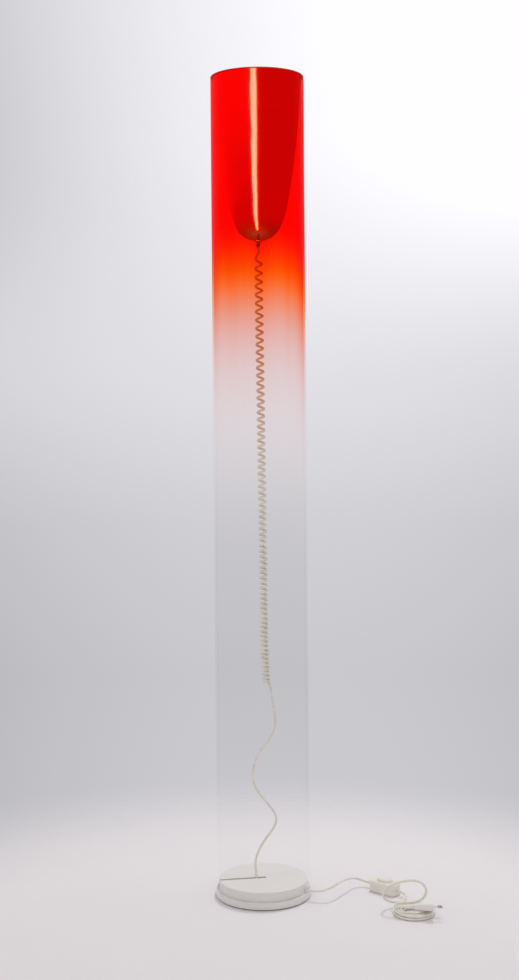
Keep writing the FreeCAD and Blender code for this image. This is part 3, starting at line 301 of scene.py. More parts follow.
def tinted_acrylic(tree, colours):
    """Clear acrylic with a red dip that fades downwards in faint streaks. A look through the lamp crosses
    four faces, so each takes a quarter of the dye's depth, and more where the wall is seen edge on."""
    dye_level, dye_fade = 1.2565, 0.0955
    spot = parts_of(tree, surface_point(tree))
    streak = maths(tree, "MULTIPLY_ADD", speckle(tree, 1.0, 2.0, (34, 34, 0.9)), 0.07, -0.035)
    run = between(tree, spot["X"], 0.06, 0.1, 0.0, 0.03)
    level = maths(tree, "ADD", maths(tree, "ADD", spot["Z"], streak), run)
    depth = maths(tree, "EXPONENT", maths(tree, "MULTIPLY_ADD", level, 1 / dye_fade, -dye_level / dye_fade))
    bluer = maths(tree, "MULTIPLY_ADD", depth, maths(tree, "MULTIPLY_ADD", depth, 0.2, 0.15), 1.1)
    bluer = times(tree, depth, bluer)
    edge_on = put(tree, "ShaderNodeLayerWeight", {"Blend": 0.5}).outputs["Facing"]
    path = between(tree, edge_on, 0.4, 0.97, -0.25, -0.42)
    green = maths(tree, "EXPONENT", times(tree, maths(tree, "MINIMUM", depth, 6.5), path))
    blue = maths(tree, "EXPONENT", times(tree, maths(tree, "MINIMUM", bluer, 7.0), path))
    # Painted glow: where the dye is dense, up to 0.045 is added to the red that passes, so the tube shines
    # redder than what lies behind it
    painted_red_glow = between(tree, depth, 0.3, 1.8, 0.0, 0.045)
    # Painted shade: a grey band where the wall is seen nearly edge on darkens what is seen through it,
    # weaker low and high on the tube
    painted_edge_shade = between(tree, edge_on, 0.66, 0.8, 0.024, 0.043)
    painted_edge_shade = times(tree, painted_edge_shade, between(tree, level, 0.7, 1.05, 1.0, 0.05))
    painted_edge_shade = times(tree, painted_edge_shade, between(tree, level, 0.05, 0.5, 0.1, 1.0))
    wall = maths(tree, "SUBTRACT", 1.0, painted_edge_shade)
    tint = out(tree, "ShaderNodeCombineColor", {"Red": maths(tree, "ADD", wall, painted_red_glow),
                                                "Green": times(tree, green, wall),
                                                "Blue": times(tree, blue, wall)})
    clear = out(tree, "ShaderNodeBsdfTransparent", {"Color": tint})
    smear = between(tree, speckle(tree, 1.0, 3.0, (60, 60, 4)), 0.35, 0.75, 0.03, 0.09)
    gloss = out(tree, "ShaderNodeBsdfGlossy", {"Color": (1, 1, 1), "Roughness": smear})
    return blended(tree, times(tree, maths(tree, "POWER", edge_on, 5.0), 0.12), clear, gloss)


def satin_lacquer(tree, colours):
    """White lacquer with a fine orange peel, slightly uneven, scuffed near the floor."""
    tone = mottled(tree, speckle(tree, 14.0), colours.lacquer, 0.95, 1.03)
    low = between(tree, parts_of(tree, surface_point(tree))["Z"], 0.0035, 0.0105, 0.55, 0.0)
    scuff = between(tree, speckle(tree, 90.0, 5.0, (1, 1, 2.5)), 0.5, 0.72)
    tone = mixed(tree, times(tree, low, scuff), tone, (0.46, 0.44, 0.43))
    return surface(tree, tone, varied(tree, 38.0, 0.29, 0.38), (speckle(tree, 620.0, 2.0), 0.02, 0.0002))


def soft_sheath(tree, colours):
    """Cream cord sheath, faintly mottled and dusty, with a painted orange-brown tint of the tube's red light
    that grows upwards towards the reflector.
    """
    tone = mottled(tree, between(tree, speckle(tree, 60.0, 4.0), 0.3, 0.7), colours.cord, 0.90, 1.04)
    # Painted light: an orange-brown tint growing from 0.85 m to 1.3 m up stands in for the red light inside
    # the tube
    painted_red_light_tint = between(tree, parts_of(tree, surface_point(tree))["Z"], 0.85, 1.3, 0.0, 0.95)
    tone = mixed(tree, painted_red_light_tint, tone, (0.74, 0.34, 0.09))
    return surface(tree, tone, varied(tree, 150.0, 0.38, 0.52), (speckle(tree, 900.0, 2.0), 0.12, 0.0003))


def moulded(tree, base, rough, grain):
    """Moulded plastic with a fine spark grain."""
    tone = mottled(tree, speckle(tree, 45.0), base, 0.95, 1.03)
    return surface(tree, tone, varied(tree, 120.0, rough, rough + 0.12),
                   (speckle(tree, grain, 2.0), 0.10, 0.0003))


def switch_moulding(tree, colours):
    """Smooth cream moulding of the foot switch."""
    return moulded(tree, colours.switch, 0.28, 1400.0)


def plug_moulding(tree, colours):
    """Softer cream moulding of the plug."""
    return moulded(tree, colours.plug, 0.40, 1100.0)


def hard_moulding(tree, colours):
    """White insulating plastic of bush, clamp, lampholder and pin sleeves."""
    return moulded(tree, (0.78, 0.77, 0.73), 0.34, 1300.0)


def spun_aluminium(tree, colours):
    """Polished aluminium with fine spinning rings, darker and browner towards the nose, satin white inside,
    its lip lacquered like the tube."""
    rings = speckle(tree, 1.0, 2.0, (3, 3, 900))
    waves = speckle(tree, 1.0, 1.0, (20, 20, 12))
    height = parts_of(tree, surface_point(tree))["Z"]
    # The tone grows darker and browner over the nose's lowest 5 cm
    nose_darkening = between(tree, height, REFLECTOR_LOW.z, REFLECTOR_LOW.z + 0.05, 0.9, 0.0)
    tone = mixed(tree, nose_darkening, mottled(tree, rings, colours.aluminium, 0.95, 1.03), (0.44, 0.31, 0.25))
    lip = between(tree, height, TUBE_HIGH.z - 0.0004, TUBE_HIGH.z + 0.0001)
    spot = put(tree, "ShaderNodeTexCoord").outputs
    level = out(tree, "ShaderNodeVectorMath", {0: spot["Object"], 1: (1, 1, 0)}, operation="MULTIPLY")
    outward = put(tree, "ShaderNodeVectorMath", {0: level, 1: spot["Normal"]},
                  operation="DOT_PRODUCT").outputs["Value"]
    satin = maths(tree, "MAXIMUM", lip, between(tree, outward, -0.002, 0.0, 0.8, 0.0))
    rough = maths(tree, "MULTIPLY_ADD", satin, 0.35, between(tree, rings, 0.3, 0.7, 0.08, 0.13))
    return surface(tree, mixed(tree, lip, tone, (0.3, 0.006, 0.004)), rough,
                   (maths(tree, "MULTIPLY_ADD", waves, 80.0, rings), 0.05, 0.0003),
                   {"Metallic": maths(tree, "SUBTRACT", 1.0, satin), "Specular IOR Level": 0.2})


def worked_metal(tree, base, rough, grain):
    """Bare metal with a fine directionless grain and dull spots."""
    tone = mottled(tree, speckle(tree, 160.0, 4.0), base, 0.82, 1.08)
    return surface(tree, tone, varied(tree, 260.0, rough, rough + 0.16),
                   (speckle(tree, grain, 3.0), 0.15, 0.0003), {"Metallic": 1.0})


def turned_brass(tree, colours):
    """Brass of nipple, nut and contacts."""
    return worked_metal(tree, (0.70, 0.52, 0.24), 0.24, 900.0)


def plated_steel(tree, colours):
    """Zinc plated steel of screws and spring."""
    return worked_metal(tree, (0.60, 0.60, 0.61), 0.30, 700.0)


def nickel_plate(tree, colours):
    """Nickel plate of the plug's pins, dulled by use."""
    return worked_metal(tree, (0.50, 0.47, 0.42), 0.26, 1200.0)


def pressed_metal(tree, colours):
    """Pressed cap of the bulb."""
    return worked_metal(tree, (0.72, 0.72, 0.72), 0.30, 800.0)


def cast_iron(tree, colours):
    """Rough cast ballast in grey primer."""
    tone = mixed(tree, speckle(tree, 120.0, 5.0), (0.40, 0.395, 0.39), (0.52, 0.515, 0.505))
    return surface(tree, tone, varied(tree, 300.0, 0.6, 0.8), (speckle(tree, 420.0, 4.0), 0.5, 0.0008))


def pressed_felt(tree, colours):
    """Grey pressed felt with matted fibres."""
    fibre = speckle(tree, 700.0, 5.0, (1, 1, 3))
    return surface(tree, mottled(tree, fibre, colours.felt, 0.8, 1.25), 0.95, (fibre, 0.6, 0.0008),
                   {"Sheen Weight": 0.3})


def dark_rubber(tree, colours):
    """Warm dark rubber of the seat washer and the cord's grip."""
    tone = mixed(tree, speckle(tree, 200.0), (0.15, 0.08, 0.065), (0.22, 0.12, 0.10))
    return surface(tree, tone, 0.7, (speckle(tree, 900.0), 0.2, 0.0004))


def opal_glass(tree, colours):
    """Opal bulb glass, milky below a clean polished skin."""
    tone = mottled(tree, speckle(tree, 22.0), colours.opal, 0.96, 1.03)
    return surface(tree, tone, varied(tree, 60.0, 0.12, 0.2), None, {
        "Subsurface Weight": 0.25, "Subsurface Scale": 0.004, "Coat Weight": 0.4, "Coat Roughness": 0.06})


def pale_floor(tree, colours):
    """Matt studio floor that fades into the background."""
    studio = bpy.context.scene.lamp_studio
    reach = put(tree, "ShaderNodeVectorMath", {0: surface_point(tree), 1: (0, studio.floor_middle, 0)},
                operation="DISTANCE").outputs["Value"]
    shown = between(tree, reach, studio.floor_reach, studio.floor_fade, 1.0, 0.0)
    tone = mottled(tree, speckle(tree, 5.0), colours.floor, 0.98, 1.02)
    matt = surface(tree, tone, 0.7, None, {"Specular IOR Level": 0.15})
    return blended(tree, shown, out(tree, "ShaderNodeBsdfTransparent"), matt)


# The finish of each material slot of the record, and of the studio's floor
FINISHES = {
    "tube_acrylic": tinted_acrylic, "white_lacquer": satin_lacquer, "foot_felt": pressed_felt,
    "ballast_iron": cast_iron, "screw_steel": plated_steel, "cord_plastic": soft_sheath,
    "white_plastic": hard_moulding, "reflector_aluminium": spun_aluminium, "holder_brass": turned_brass,
    "washer_rubber": dark_rubber, "bulb_opal": opal_glass, "bulb_cap_metal": pressed_metal,
    "switch_plastic": switch_moulding, "plug_plastic": plug_moulding, "pin_nickel": nickel_plate,
    "studio_floor": pale_floor,
}


def finish(slot):
    """The material of a slot, made when it is first asked for."""
    build = FINISHES[slot]
    material = bpy.data.materials.get(build.__name__)
    if material is None:
        material = bpy.data.materials.new(build.__name__)
        material.use_nodes = True
        tree = material.node_tree
        tree.nodes.clear()
        shader = build(tree, bpy.context.scene.lamp_colours)
        put(tree, "ShaderNodeOutputMaterial", {"Surface": shader})
    return material


# Mesh shorthand

def linked(name, data):
    """A new object in the scene."""
    thing = bpy.data.objects.new(name, data)
    bpy.context.scene.collection.objects.link(thing)
    return thing


def dress(mesh, slot):
    """Give a mesh the finish of a slot."""
    mesh.materials.clear()
    mesh.materials.append(finish(slot))


def add_piece(name, mesh, slot, body, *instead):
    """A piece at the origin with its finish, its body and the nodes that it stands for."""
    mesh.name = name
    dress(mesh, slot)
    piece = linked(name, mesh)
    if body:
        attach(piece, body)
    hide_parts(*instead)
    return piece


def smoothed(mesh, degrees=32):
    """The mesh with smooth faces and its sharp edges kept."""
    mesh.polygons.foreach_set("use_smooth", [True] * len(mesh.polygons))
    mesh.set_sharp_from_angle(angle=math.radians(degrees))
    return mesh


def meshed(shape):
    """The mesh of a finished bmesh."""
    mesh = bpy.data.meshes.new("shape")
    shape.to_mesh(mesh)
    shape.free()
    return mesh


def loft(rings, loop=False):
    """A mesh through rings of equally many points; a ring of one point closes an end."""
    shape = bmesh.new()
    made = [[shape.verts.new(point) for point in ring] for ring in rings]
    for low, high in zip(made, made[1:] + (made[:1] if loop else [])):
        count = max(len(low), len(high))
        for i in range(count):
            j = (i + 1) % count
            corners = [low[0]] if len(low) == 1 else [low[i], low[j]]
            corners += [high[0]] if len(high) == 1 else [high[j], high[i]]
            shape.faces.new(corners)
    bmesh.ops.recalc_face_normals(shape, faces=shape.faces)
    return smoothed(meshed(shape))


def lathe(profile, segments, place=Matrix(), loop=False):
    """A mesh turned from (radius, height) points about the place's Z axis."""
    rings = []
    for radius, height in profile:
        angles = [math.tau * i / segments for i in range(1 if radius < 1e-7 else segments)]
        rings.append([place @ Vector((radius * math.cos(a), radius * math.sin(a), height)) for a in angles])
    return loft(rings, loop)


def prism(section, hub, ends, place):
    """A mesh with one section along the place's Z axis, its ends closed about a hub in the section."""
    low, high = ends
    levels = ((low, [hub]), (low, section), (high, section), (high, [hub]))
    return loft([[place @ Vector((x, y, level)) for x, y in ring] for level, ring in levels])


def spread(first, last, count):
    """Evenly spaced values, both ends included."""
    return [first + (last - first) * i / (count - 1) for i in range(count)]


def arc(radius, height, size, first, last, count):
    """Points of an arc about (radius, height), between two angles."""
    return [(radius + size * math.cos(a), height + size * math.sin(a)) for a in spread(first, last, count)]


def quarter(radius, height, size, start, steps=6):
    """Points of a rounded edge: a quarter circle about (radius, height) from a start angle in degrees."""
    return arc(radius, height, size, math.radians(start), math.radians(start + 90), steps + 1)


def bowed(start, end, radius, steps):
    """Points on the arc between two profile points, bowed away from the axis."""
    run = Vector(end) - Vector(start)
    inward = Vector((-run.y, run.x)).normalized()
    centre = (Vector(start) + Vector(end)) / 2 + inward * math.sqrt(radius ** 2 - (run.length / 2) ** 2)
    first, last = (math.atan2(z - centre.y, r - centre.x) for r, z in (start, end))
    return arc(centre.x, centre.y, radius, first, last, steps + 1)


def outline(half_length, half_width, corner, steps=7, sides=10):
    """A rounded rectangle as (along, across) points, with points along its straight sides too."""
    along, across = half_length - corner, half_width - corner
    middles = ((along, across), (-along, across), (-along, -across), (along, -across))
    corners = [quarter(x, y, corner, 90 * i, steps) for i, (x, y) in enumerate(middles)]
    points = []
    for bend, after in zip(corners, corners[1:] + corners[:1]):
        (x, y), (to_x, to_y) = bend[-1], after[0]
        points += bend + [(x + (to_x - x) * i / sides, y + (to_y - y) * i / sides) for i in range(1, sides)]
    return points


def joined(*meshes):
    """One mesh out of several, which are removed."""
    shape = bmesh.new()
    for mesh in meshes:
        shape.from_mesh(mesh)
        bpy.data.meshes.remove(mesh)
    return smoothed(meshed(shape))


def evaluated(thing):
    """A plain mesh of an object as it is shown."""
    bpy.context.view_layer.update()
    return bpy.data.meshes.new_from_object(thing.evaluated_get(bpy.context.evaluated_depsgraph_get()))


def drop(thing):
    """Remove an object and its data."""
    data = thing.data
    bpy.data.objects.remove(thing)
    (bpy.data.curves if isinstance(data, bpy.types.Curve) else bpy.data.meshes).remove(data)


def settled(maker):
    """The plain mesh of an object with its modifiers, and the object gone."""
    mesh = evaluated(maker)
    drop(maker)
    return mesh


def carved(mesh, *cutters):
    """The mesh with the cutters taken out of it."""
    maker = linked("carving", mesh)
    tools = [linked("cutter", cutter) for cutter in cutters]
    for tool in tools:
        cut = maker.modifiers.new("cut", "BOOLEAN")
        cut.object, cut.operation, cut.solver = tool, "DIFFERENCE", "EXACT"
    result = smoothed(settled(maker), 30)
    for tool in tools:
        drop(tool)
    for face in result.polygons:
        face.use_smooth = abs(face.normal.z) < 0.99999
    return result


# Geometry nodes

def node_group(name, **sockets):
    """A new geometry node group with typed inputs beside its geometry and finish, and what it is given."""
    tree = bpy.data.node_groups.new(name, "GeometryNodeTree")
    sockets = {"geometry": "Geometry", **sockets, "finish": "Material"}
    for label, kind in sockets.items():
        tree.interface.new_socket(label, in_out="INPUT", socket_type="NodeSocket" + kind)
    tree.interface.new_socket("geometry", in_out="OUTPUT", socket_type="NodeSocketGeometry")
    return tree, put(tree, "NodeGroupInput").outputs


def hand_out(tree, geometry, material):
    """Let a node group give out its geometry, smooth, as real mesh and in its material."""
    smooth = out(tree, "GeometryNodeSetShadeSmooth", {"Geometry": geometry})
    real = out(tree, "GeometryNodeRealizeInstances", {"Geometry": smooth})
    dressed = out(tree, "GeometryNodeSetMaterial", {"Geometry": real, "Material": material})
    put(tree, "NodeGroupOutput", {"geometry": dressed})
    return tree


def circle(tree, sides, radius):
    """A circle curve."""
    return out(tree, "GeometryNodeCurvePrimitiveCircle", {"Resolution": sides, "Radius": radius})


def sweep_tree():
    """Geometry nodes that sweep a round wire along a curve."""
    tree, given = node_group("round_sweep", radius="Float", sides="Int")
    section = circle(tree, given["sides"], given["radius"])
    swept = out(tree, "GeometryNodeCurveToMesh", {"Curve": given["geometry"], "Profile Curve": section,
                                                  "Fill Caps": True})
    return hand_out(tree, swept, given["finish"])


def rib_tree():
    """Geometry nodes that set tapering ribs along a line."""
    tree, given = node_group("relief_ribs", length="Float", first_radius="Float", last_radius="Float",
                             thickness="Float", count="Int")
    end = out(tree, "ShaderNodeCombineXYZ", {"X": given["length"]})
    line = out(tree, "GeometryNodeMeshLine", {"Count": given["count"], "Offset": end}, mode="END_POINTS")
    rib = out(tree, "GeometryNodeCurveToMesh", {"Curve": circle(tree, SMALL_SEGMENTS, 1.0),
                                                "Profile Curve": circle(tree, 10, given["thickness"])})
    last = maths(tree, "SUBTRACT", given["count"], 1.0)
    size = between(tree, out(tree, "GeometryNodeInputIndex"), 0.0, last,
                   given["first_radius"], given["last_radius"], smooth=False)
    size = out(tree, "ShaderNodeCombineXYZ", {"X": size, "Y": size, "Z": 0.004})
    ribs = out(tree, "GeometryNodeInstanceOnPoints", {"Points": line, "Instance": rib, "Scale": size,
                                                      "Rotation": (0, math.pi / 2, 0)})
    both = put(tree, "GeometryNodeJoinGeometry", {0: ribs})
    tree.links.new(given["geometry"], both.inputs[0])
    return hand_out(tree, both.outputs[0], given["finish"])


def add_nodes(thing, tree, **values):
    """Put a node group on an object, with its inputs' values."""
    modifier = thing.modifiers.new(tree.name, "NODES")
    modifier.node_group = tree
    for item in tree.interface.items_tree:
        if item.in_out == "INPUT" and item.name in values:
            modifier[item.identifier] = values[item.name]


# Cords

def swept_wire(points, radius, slot, sides, smoothness):
    """The mesh of a round wire along a smooth route, and the points of the line that it follows."""
    data = bpy.data.curves.new("route", "CURVE")
    data.dimensions, data.resolution_u = "3D", smoothness
    spline = data.splines.new("NURBS")
    spline.points.add(len(points) - 1)
    for spot, point in zip(spline.points, points):
        spot.co = (*point, 1.0)
    spline.order_u, spline.use_endpoint_u = 3, True
    curve = linked("route", data)
    line = evaluated(curve)
    path = [vertex.co.copy() for vertex in line.vertices]
    bpy.data.meshes.remove(line)
    tree = bpy.data.node_groups.get("round_sweep") or sweep_tree()
    add_nodes(curve, tree, radius=radius, sides=sides, finish=finish(slot))
    return settled(curve), path


def metres(points):
    """Route points in metres."""
    return [Vector(point) * MM for point in points]


def vectors(*points):
    """Points as vectors."""
    return [Vector(point) for point in points]


def curl_point(winding, widen=1.0):
    """A point on the curly cord's helix, or just outside it where it is a control point, in millimetres."""
    begun = min(1.0, winding / CURL_START)
    done = max(0.0, (winding - CURL_TURNS + CURL_END) / CURL_END)
    angle = math.tau * (winding * begun / 2 if begun < 1 else winding - CURL_START / 2)
    growth = math.log(CURL_GROWTH) / CURL_TURNS
    first_pitch = CURL_PITCH * CURL_TURNS * growth / (CURL_GROWTH - 1)
    start_rise = CURL_START_RISE * CURL_START / 3 * (1 - (1 - begun) ** 3)
    end_rise = CURL_END_RISE * CURL_END / 3 * done ** 3
    height = CURL_LOW + first_pitch * (math.exp(growth * winding) - 1) / growth + start_rise + end_rise
    radius = CURL_RADIUS * (1 - min(1.0, done) ** 4) * widen
    lean = CURL_LEAN * (CURL_HIGH - height) / (CURL_HIGH - CURL_LOW)
    kick = CURL_KICK * math.exp((CURL_LOW - height) / CURL_KICK_FADE)
    axis = (lean + kick) * (1 - done ** 2)
    return Vector((axis + radius * math.cos(angle), radius * math.sin(angle), height))


def coil_point(winding, widen=1.0):
    """A point of the wound coil, in millimetres: inwards on the floor, then outwards on top."""
    past = min(1.0, max(0.0, (winding - COIL_LAPS) / COIL_CLIMB))
    lap = max(0.0, COIL_LAPS - winding) + max(0.0, winding - COIL_LAPS - COIL_CLIMB)
    radius = (COIL_RADIUS + COIL_STEP * (lap - COIL_CLIMB * past * (1 - past))) * widen
    angle = math.pi + math.tau * winding
    return Vector((COIL_X + radius * math.cos(angle), COIL_Y + radius * math.sin(angle),
                   COIL_HEIGHT + COIL_RISE * (1 - math.cos(math.pi * past)) / 2))


def wound(point, turns, per_turn):
    """Control points between a winding's ends, a little outside it so that the cord keeps its radius."""
    widen = 1 / math.cos(math.pi / per_turn)
    return [point(i / per_turn, widen) for i in range(1, math.ceil(turns * per_turn))]


def heading(point, winding):
    """The direction of a winding."""
    return (point(winding + NEAR) - point(winding)).normalized()


def switch_end(sizes, side, beyond=0.0):
    """A point on the lead at one end of the foot switch, in millimetres."""
    reach = side * (sizes.switch_length / 2 + beyond * MM)
    return Vector((SWITCH_MIDDLE.x + reach * math.cos(SWITCH_TURN),
                   SWITCH_MIDDLE.y + reach * math.sin(SWITCH_TURN), sizes.switch_split)) / MM


def inner_route(sizes):
    """Control points of the cord inside the tube: the plain tail, then the curls."""
    cord = sizes.cord_radius * 2 / MM
    start = Vector((TAIL_REACH * math.cos(sizes.slot_turn), TAIL_REACH * math.sin(sizes.slot_turn),
                    COVER_HIGH.z / MM))
    tail = vectors(
        (-18.6, -2.2, 65), (-14.6, -1.8, 84), (-6, -1, 102.5), (6.5, 0, 120.5), (19.5, 1.4, 137),
        (28, 2.4, 151), (28.6, 2.6, 166.5), (20.2, 1.8, 181.5), (5.8, 0.6, 198.5), (-8.2, -1, 216.5),
        (-18, -2.2, 234), (-22, -2.8, 254), (-19.6, -2.4, 274.5), (-12.2, -1.6, 296.5), (0.8, -0.4, 316.5),
        (15.4, 1, 333.5), (26.4, 1.8, 351.5), (28.8, 2, 374), (25.8, 1.2, 399))
    foot, way = curl_point(0), heading(curl_point, 0)
    curls = [foot - way * 3 * cord, foot - way * cord] + wound(curl_point, CURL_TURNS, CURL_POINTS)
    top = vectors((0, 0, CURL_HIGH), (0, 0, CURL_HIGH + cord))
    return metres([start, start + Vector((0, 0, TAIL_RISE))] + tail + curls + top)


def base_lead_route(sizes):
    """Control points of the lead from the base to the switch."""
    away = Vector((math.cos(sizes.exit_turn), math.sin(sizes.exit_turn), 0))
    lift = Vector((0, 0, sizes.exit_height / MM))
    arch = vectors((133, -47, 24.5), (149.5, -37, 29), (160.5, -19, 29.5), (172, 0.5, 28), (184.5, 19, 25),
                   (196, 36.4, 20.5), (204.5, 41.5, 17), (214.2, 42.7, 13.6))
    return metres([away * LEAD_START + lift, away * LEAD_STRAIGHT + lift] + arch
                  + [switch_end(sizes, -1, SWITCH_RUN_IN), switch_end(sizes, -1)])


def plug_lead_route(sizes):
    """Control points of the lead from the switch round the coil and the standing loop to the plug."""
    cord = sizes.cord_radius * 2 / MM
    first, last = coil_point(0), coil_point(COIL_TURNS)
    into, onward = heading(coil_point, 0), heading(coil_point, COIL_TURNS - NEAR)
    along = vectors((300.5, -33.5, 9), (301, -44.5, 7), (296, -55.5, 5), (288.5, -66, 3.8),
                    (280.5, -77, 3.1), (273.5, -88.5, 2.8))
    loop = vectors(
        (270, -83.5, 10.5), (255.5, -91, 17), (247.5, -100, 28), (247.5, -108, 41), (257, -113, 53),
        (273, -116, 61.5), (292, -117.5, 66.5), (311, -117.5, 67.5), (327, -116.5, 62.5), (336, -115, 51),
        (336.5, -113, 37.5), (328.5, -111.5, 26), (313, -110.5, 19.5), (296.5, -109.5, 18),
        (281, -110.5, 18.4), (270, -120.5, 19.4), (269.5, -135.5, 21), (280, -146, 22.5),
        (294.5, -146, 22.5))
    coil = [first - into * COIL_RUN_IN, first - into * cord] + wound(coil_point, COIL_TURNS, COIL_POINTS)
    coil += [last + onward * cord, last + onward * COIL_RUN_OUT]
    return metres([switch_end(sizes, 1), switch_end(sizes, 1, SWITCH_RUN_OUT)] + along + coil + loop)


def exit_place(sizes):
    """The place on the lamp's axis from which the lead goes out along X."""
    return Matrix.Rotation(sizes.exit_turn, 4, "Z") @ Matrix.Translation((0, 0, sizes.exit_height))


# Operators

class LAMP_OT_fittings(bpy.types.Operator):
    """Give the carried-over fittings their finishes"""
    bl_idname = "lamp.fittings"
    bl_label = "Fittings"

    def execute(self, context):
        for part in frame["record"]["subparts"]:
            dress(frame["nodes"][part["node"]].data, part["material_slot"])
        return {"FINISHED"}


class LAMP_OT_clear_tube(bpy.types.Operator):
    """Turn the tinted tube with its polished rims and the notch for the lead"""
    bl_idname = "lamp.clear_tube"
    bl_label = "Clear tube"

    def execute(self, context):
        sizes = context.scene.lamp_sizes
        outer, inner, rim = sizes.tube_radius, sizes.tube_radius - sizes.tube_wall, sizes.tube_rim
        low, high, plain = TUBE_LOW.z, TUBE_HIGH.z, 0.06
        profile = quarter(inner + rim, low + rim, rim, 180) + quarter(outer - rim, low + rim, rim, 270)
        profile += [(outer, z) for z in spread(low + plain, high - plain, 30)]
        profile += quarter(outer - rim, high - rim, rim, 0) + quarter(inner + rim, high - rim, rim, 90)
        profile += [(inner, z) for z in spread(high - plain, low + plain, 30)]
        bore = sizes.notch_radius
        arch = [(bore, -SPARE)] + arc(0, 0, bore, 0, math.pi, 17) + [(-bore, -SPARE)]
        notch = prism(arch, (0, -0.004), (inner - SPARE, outer + SPARE), exit_place(sizes) @ ALONG_X)
        tube = lathe(profile, TUBE_SEGMENTS, loop=True)
        add_piece("clear_tube", carved(tube, notch), "tube_acrylic", "lamp_base", "tube")
        return {"FINISHED"}


class LAMP_OT_base(bpy.types.Operator):
    """Turn the white flange and the slotted white cap that stands in the tube"""
    bl_idname = "lamp.base"
    bl_label = "Base"

    def flange(self, sizes):
        """The white flange under the tube."""
        edge, radius, flat = sizes.flange_edge, FLANGE_HIGH.x, FLANGE_HIGH.x - 0.03
        low, high = FLANGE_LOW.z, FLANGE_HIGH.z
        profile = [(0, low), (flat, low)] + quarter(radius - edge, low + edge, edge, 270)
        profile += quarter(radius - edge, high - edge, edge, 0) + [(flat, high), (0, high)]
        add_piece("base_flange", lathe(profile, ROUND_SEGMENTS), "white_lacquer", "lamp_base", "base_plate")

    def cap(self, sizes):
        """The white cap with its cord slot and the bore for the lead."""
        outer, wall, edge = COVER_HIGH.x, sizes.cap_wall, sizes.cap_edge
        low, high = COVER_LOW.z, COVER_HIGH.z
        flat = outer - edge - 0.0005
        profile = [(0, high), (flat, high)] + quarter(outer - edge, high - edge, edge, 0)[::-1]
        profile += [(outer, low), (outer - wall, low), (outer - wall, high - wall), (0, high - wall)]
        half, past = sizes.slot_width / 2, outer + 2 * SPARE
        section = arc(half - sizes.slot_reach, 0, half, math.pi / 2, 3 * math.pi / 2, 13)
        section += [(past, -half), (past, half)]
        opening = Matrix.Rotation(sizes.slot_turn, 4, "Z")
        slot = prism(section, (0.03, 0), (low - SPARE, high + SPARE), opening)
        way = exit_place(sizes) @ Matrix.Translation((outer - 2 * SPARE, 0, 0)) @ TURN_TO_X
        radius, depth = sizes.notch_radius, 4 * SPARE
        bore = lathe([(0, 0), (radius, 0), (radius, depth), (0, depth)], 32, way)
        cap = carved(lathe(profile, ROUND_SEGMENTS), slot, bore)
        add_piece("base_cap", cap, "white_lacquer", "lamp_base", "base_cover")

    def execute(self, context):
        self.flange(context.scene.lamp_sizes)
        self.cap(context.scene.lamp_sizes)
        return {"FINISHED"}


class LAMP_OT_reflector(bpy.types.Operator):
    """Spin the bullet reflector that hangs in the tube's mouth by its lip, and add the grip at its nose"""
    bl_idname = "lamp.reflector"
    bl_label = "Bullet reflector"

    def bullet(self, wall):
        """The reflector's sheet, outside up to the rim and inside down again."""
        low, high, lip = REFLECTOR_LOW.z, REFLECTOR_HIGH.z, REFLECTOR_HIGH.x
        seat, dome = (NOSE_RADIUS, low), (DOME_RADIUS, low + DOME_RISE)
        shoulder, mouth = (SHOULDER_RADIUS, low + SHOULDER_RISE), (MOUTH_RADIUS, high - wall)
        outside = bowed(seat, dome, DOME_BOW, 14) + bowed(dome, shoulder, SHOULDER_BOW, 10)[1:]
        outside += bowed(shoulder, mouth, SIDE_BOW, 26)[1:]
        edge, inner = wall / 2, MOUTH_RADIUS - wall
        rim = quarter(lip - edge, high - edge, edge, 270)[:-1] + quarter(lip - edge, high - edge, edge, 0)
        inside = [(max(r - wall, NOSE_RADIUS), z + wall * (1 if r < DOME_RADIUS else 0.3))
                  for r, z in outside[1:-1]]
        profile = [(NOSE_BORE, low)] + outside + rim + [(inner + edge, high), (inner, high - edge)]
        profile += inside[::-1] + [(NOSE_RADIUS, low + wall), (NOSE_BORE, low + wall)]
        add_piece("bullet_reflector", lathe(profile, ROUND_SEGMENTS, loop=True), "reflector_aluminium",
                  "reflector_head", "reflector")

    def grip(self, bore):
        """The slim tapered grip of the cord."""
        low, high = GRIP_LOW.z, GRIP_HIGH.z
        profile = [(bore, low), (bore + 0.0006, low), (bore + 0.0009, low + 0.0003),
                   (bore + 0.0018, high - 0.002), (bore + 0.0026, high), (bore, high)]
        add_piece("slim_cord_grip", lathe(profile, SMALL_SEGMENTS, loop=True), "washer_rubber",
                  "reflector_head", "cord_grip")

    def execute(self, context):
        clearance = 0.0001
        self.bullet(context.scene.lamp_sizes.reflector_wall)
        self.grip(context.scene.lamp_sizes.cord_radius + clearance)
        return {"FINISHED"}


class LAMP_OT_bulb(bpy.types.Operator):
    """Blow the opal bulb above its cap"""
    bl_idname = "lamp.bulb"
    bl_label = "Opal bulb"

    def execute(self, context):
        low, high, radius = GLASS_LOW.z, GLASS_HIGH.z, GLASS_HIGH.x
        foot = low + NECK_HEIGHT
        ball = arc(0, high - radius, radius, BALL_START, math.pi / 2, 24)
        widen, rise = ball[0][0] - NECK_RADIUS, ball[0][1] - foot
        profile = [(0, low), (NECK_RADIUS, low), (NECK_RADIUS, foot)]
        for share in spread(0.08, 0.92, 12):
            swell = 0.35 * share + 0.65 * share * share * (3 - 2 * share)
            profile.append((NECK_RADIUS + widen * swell, foot + rise * share))
        profile += ball[:-1] + [(0, high)]
        add_piece("opal_bulb", lathe(profile, BULB_SEGMENTS), "bulb_opal", "reflector_head", "bulb_glass")
        return {"FINISHED"}


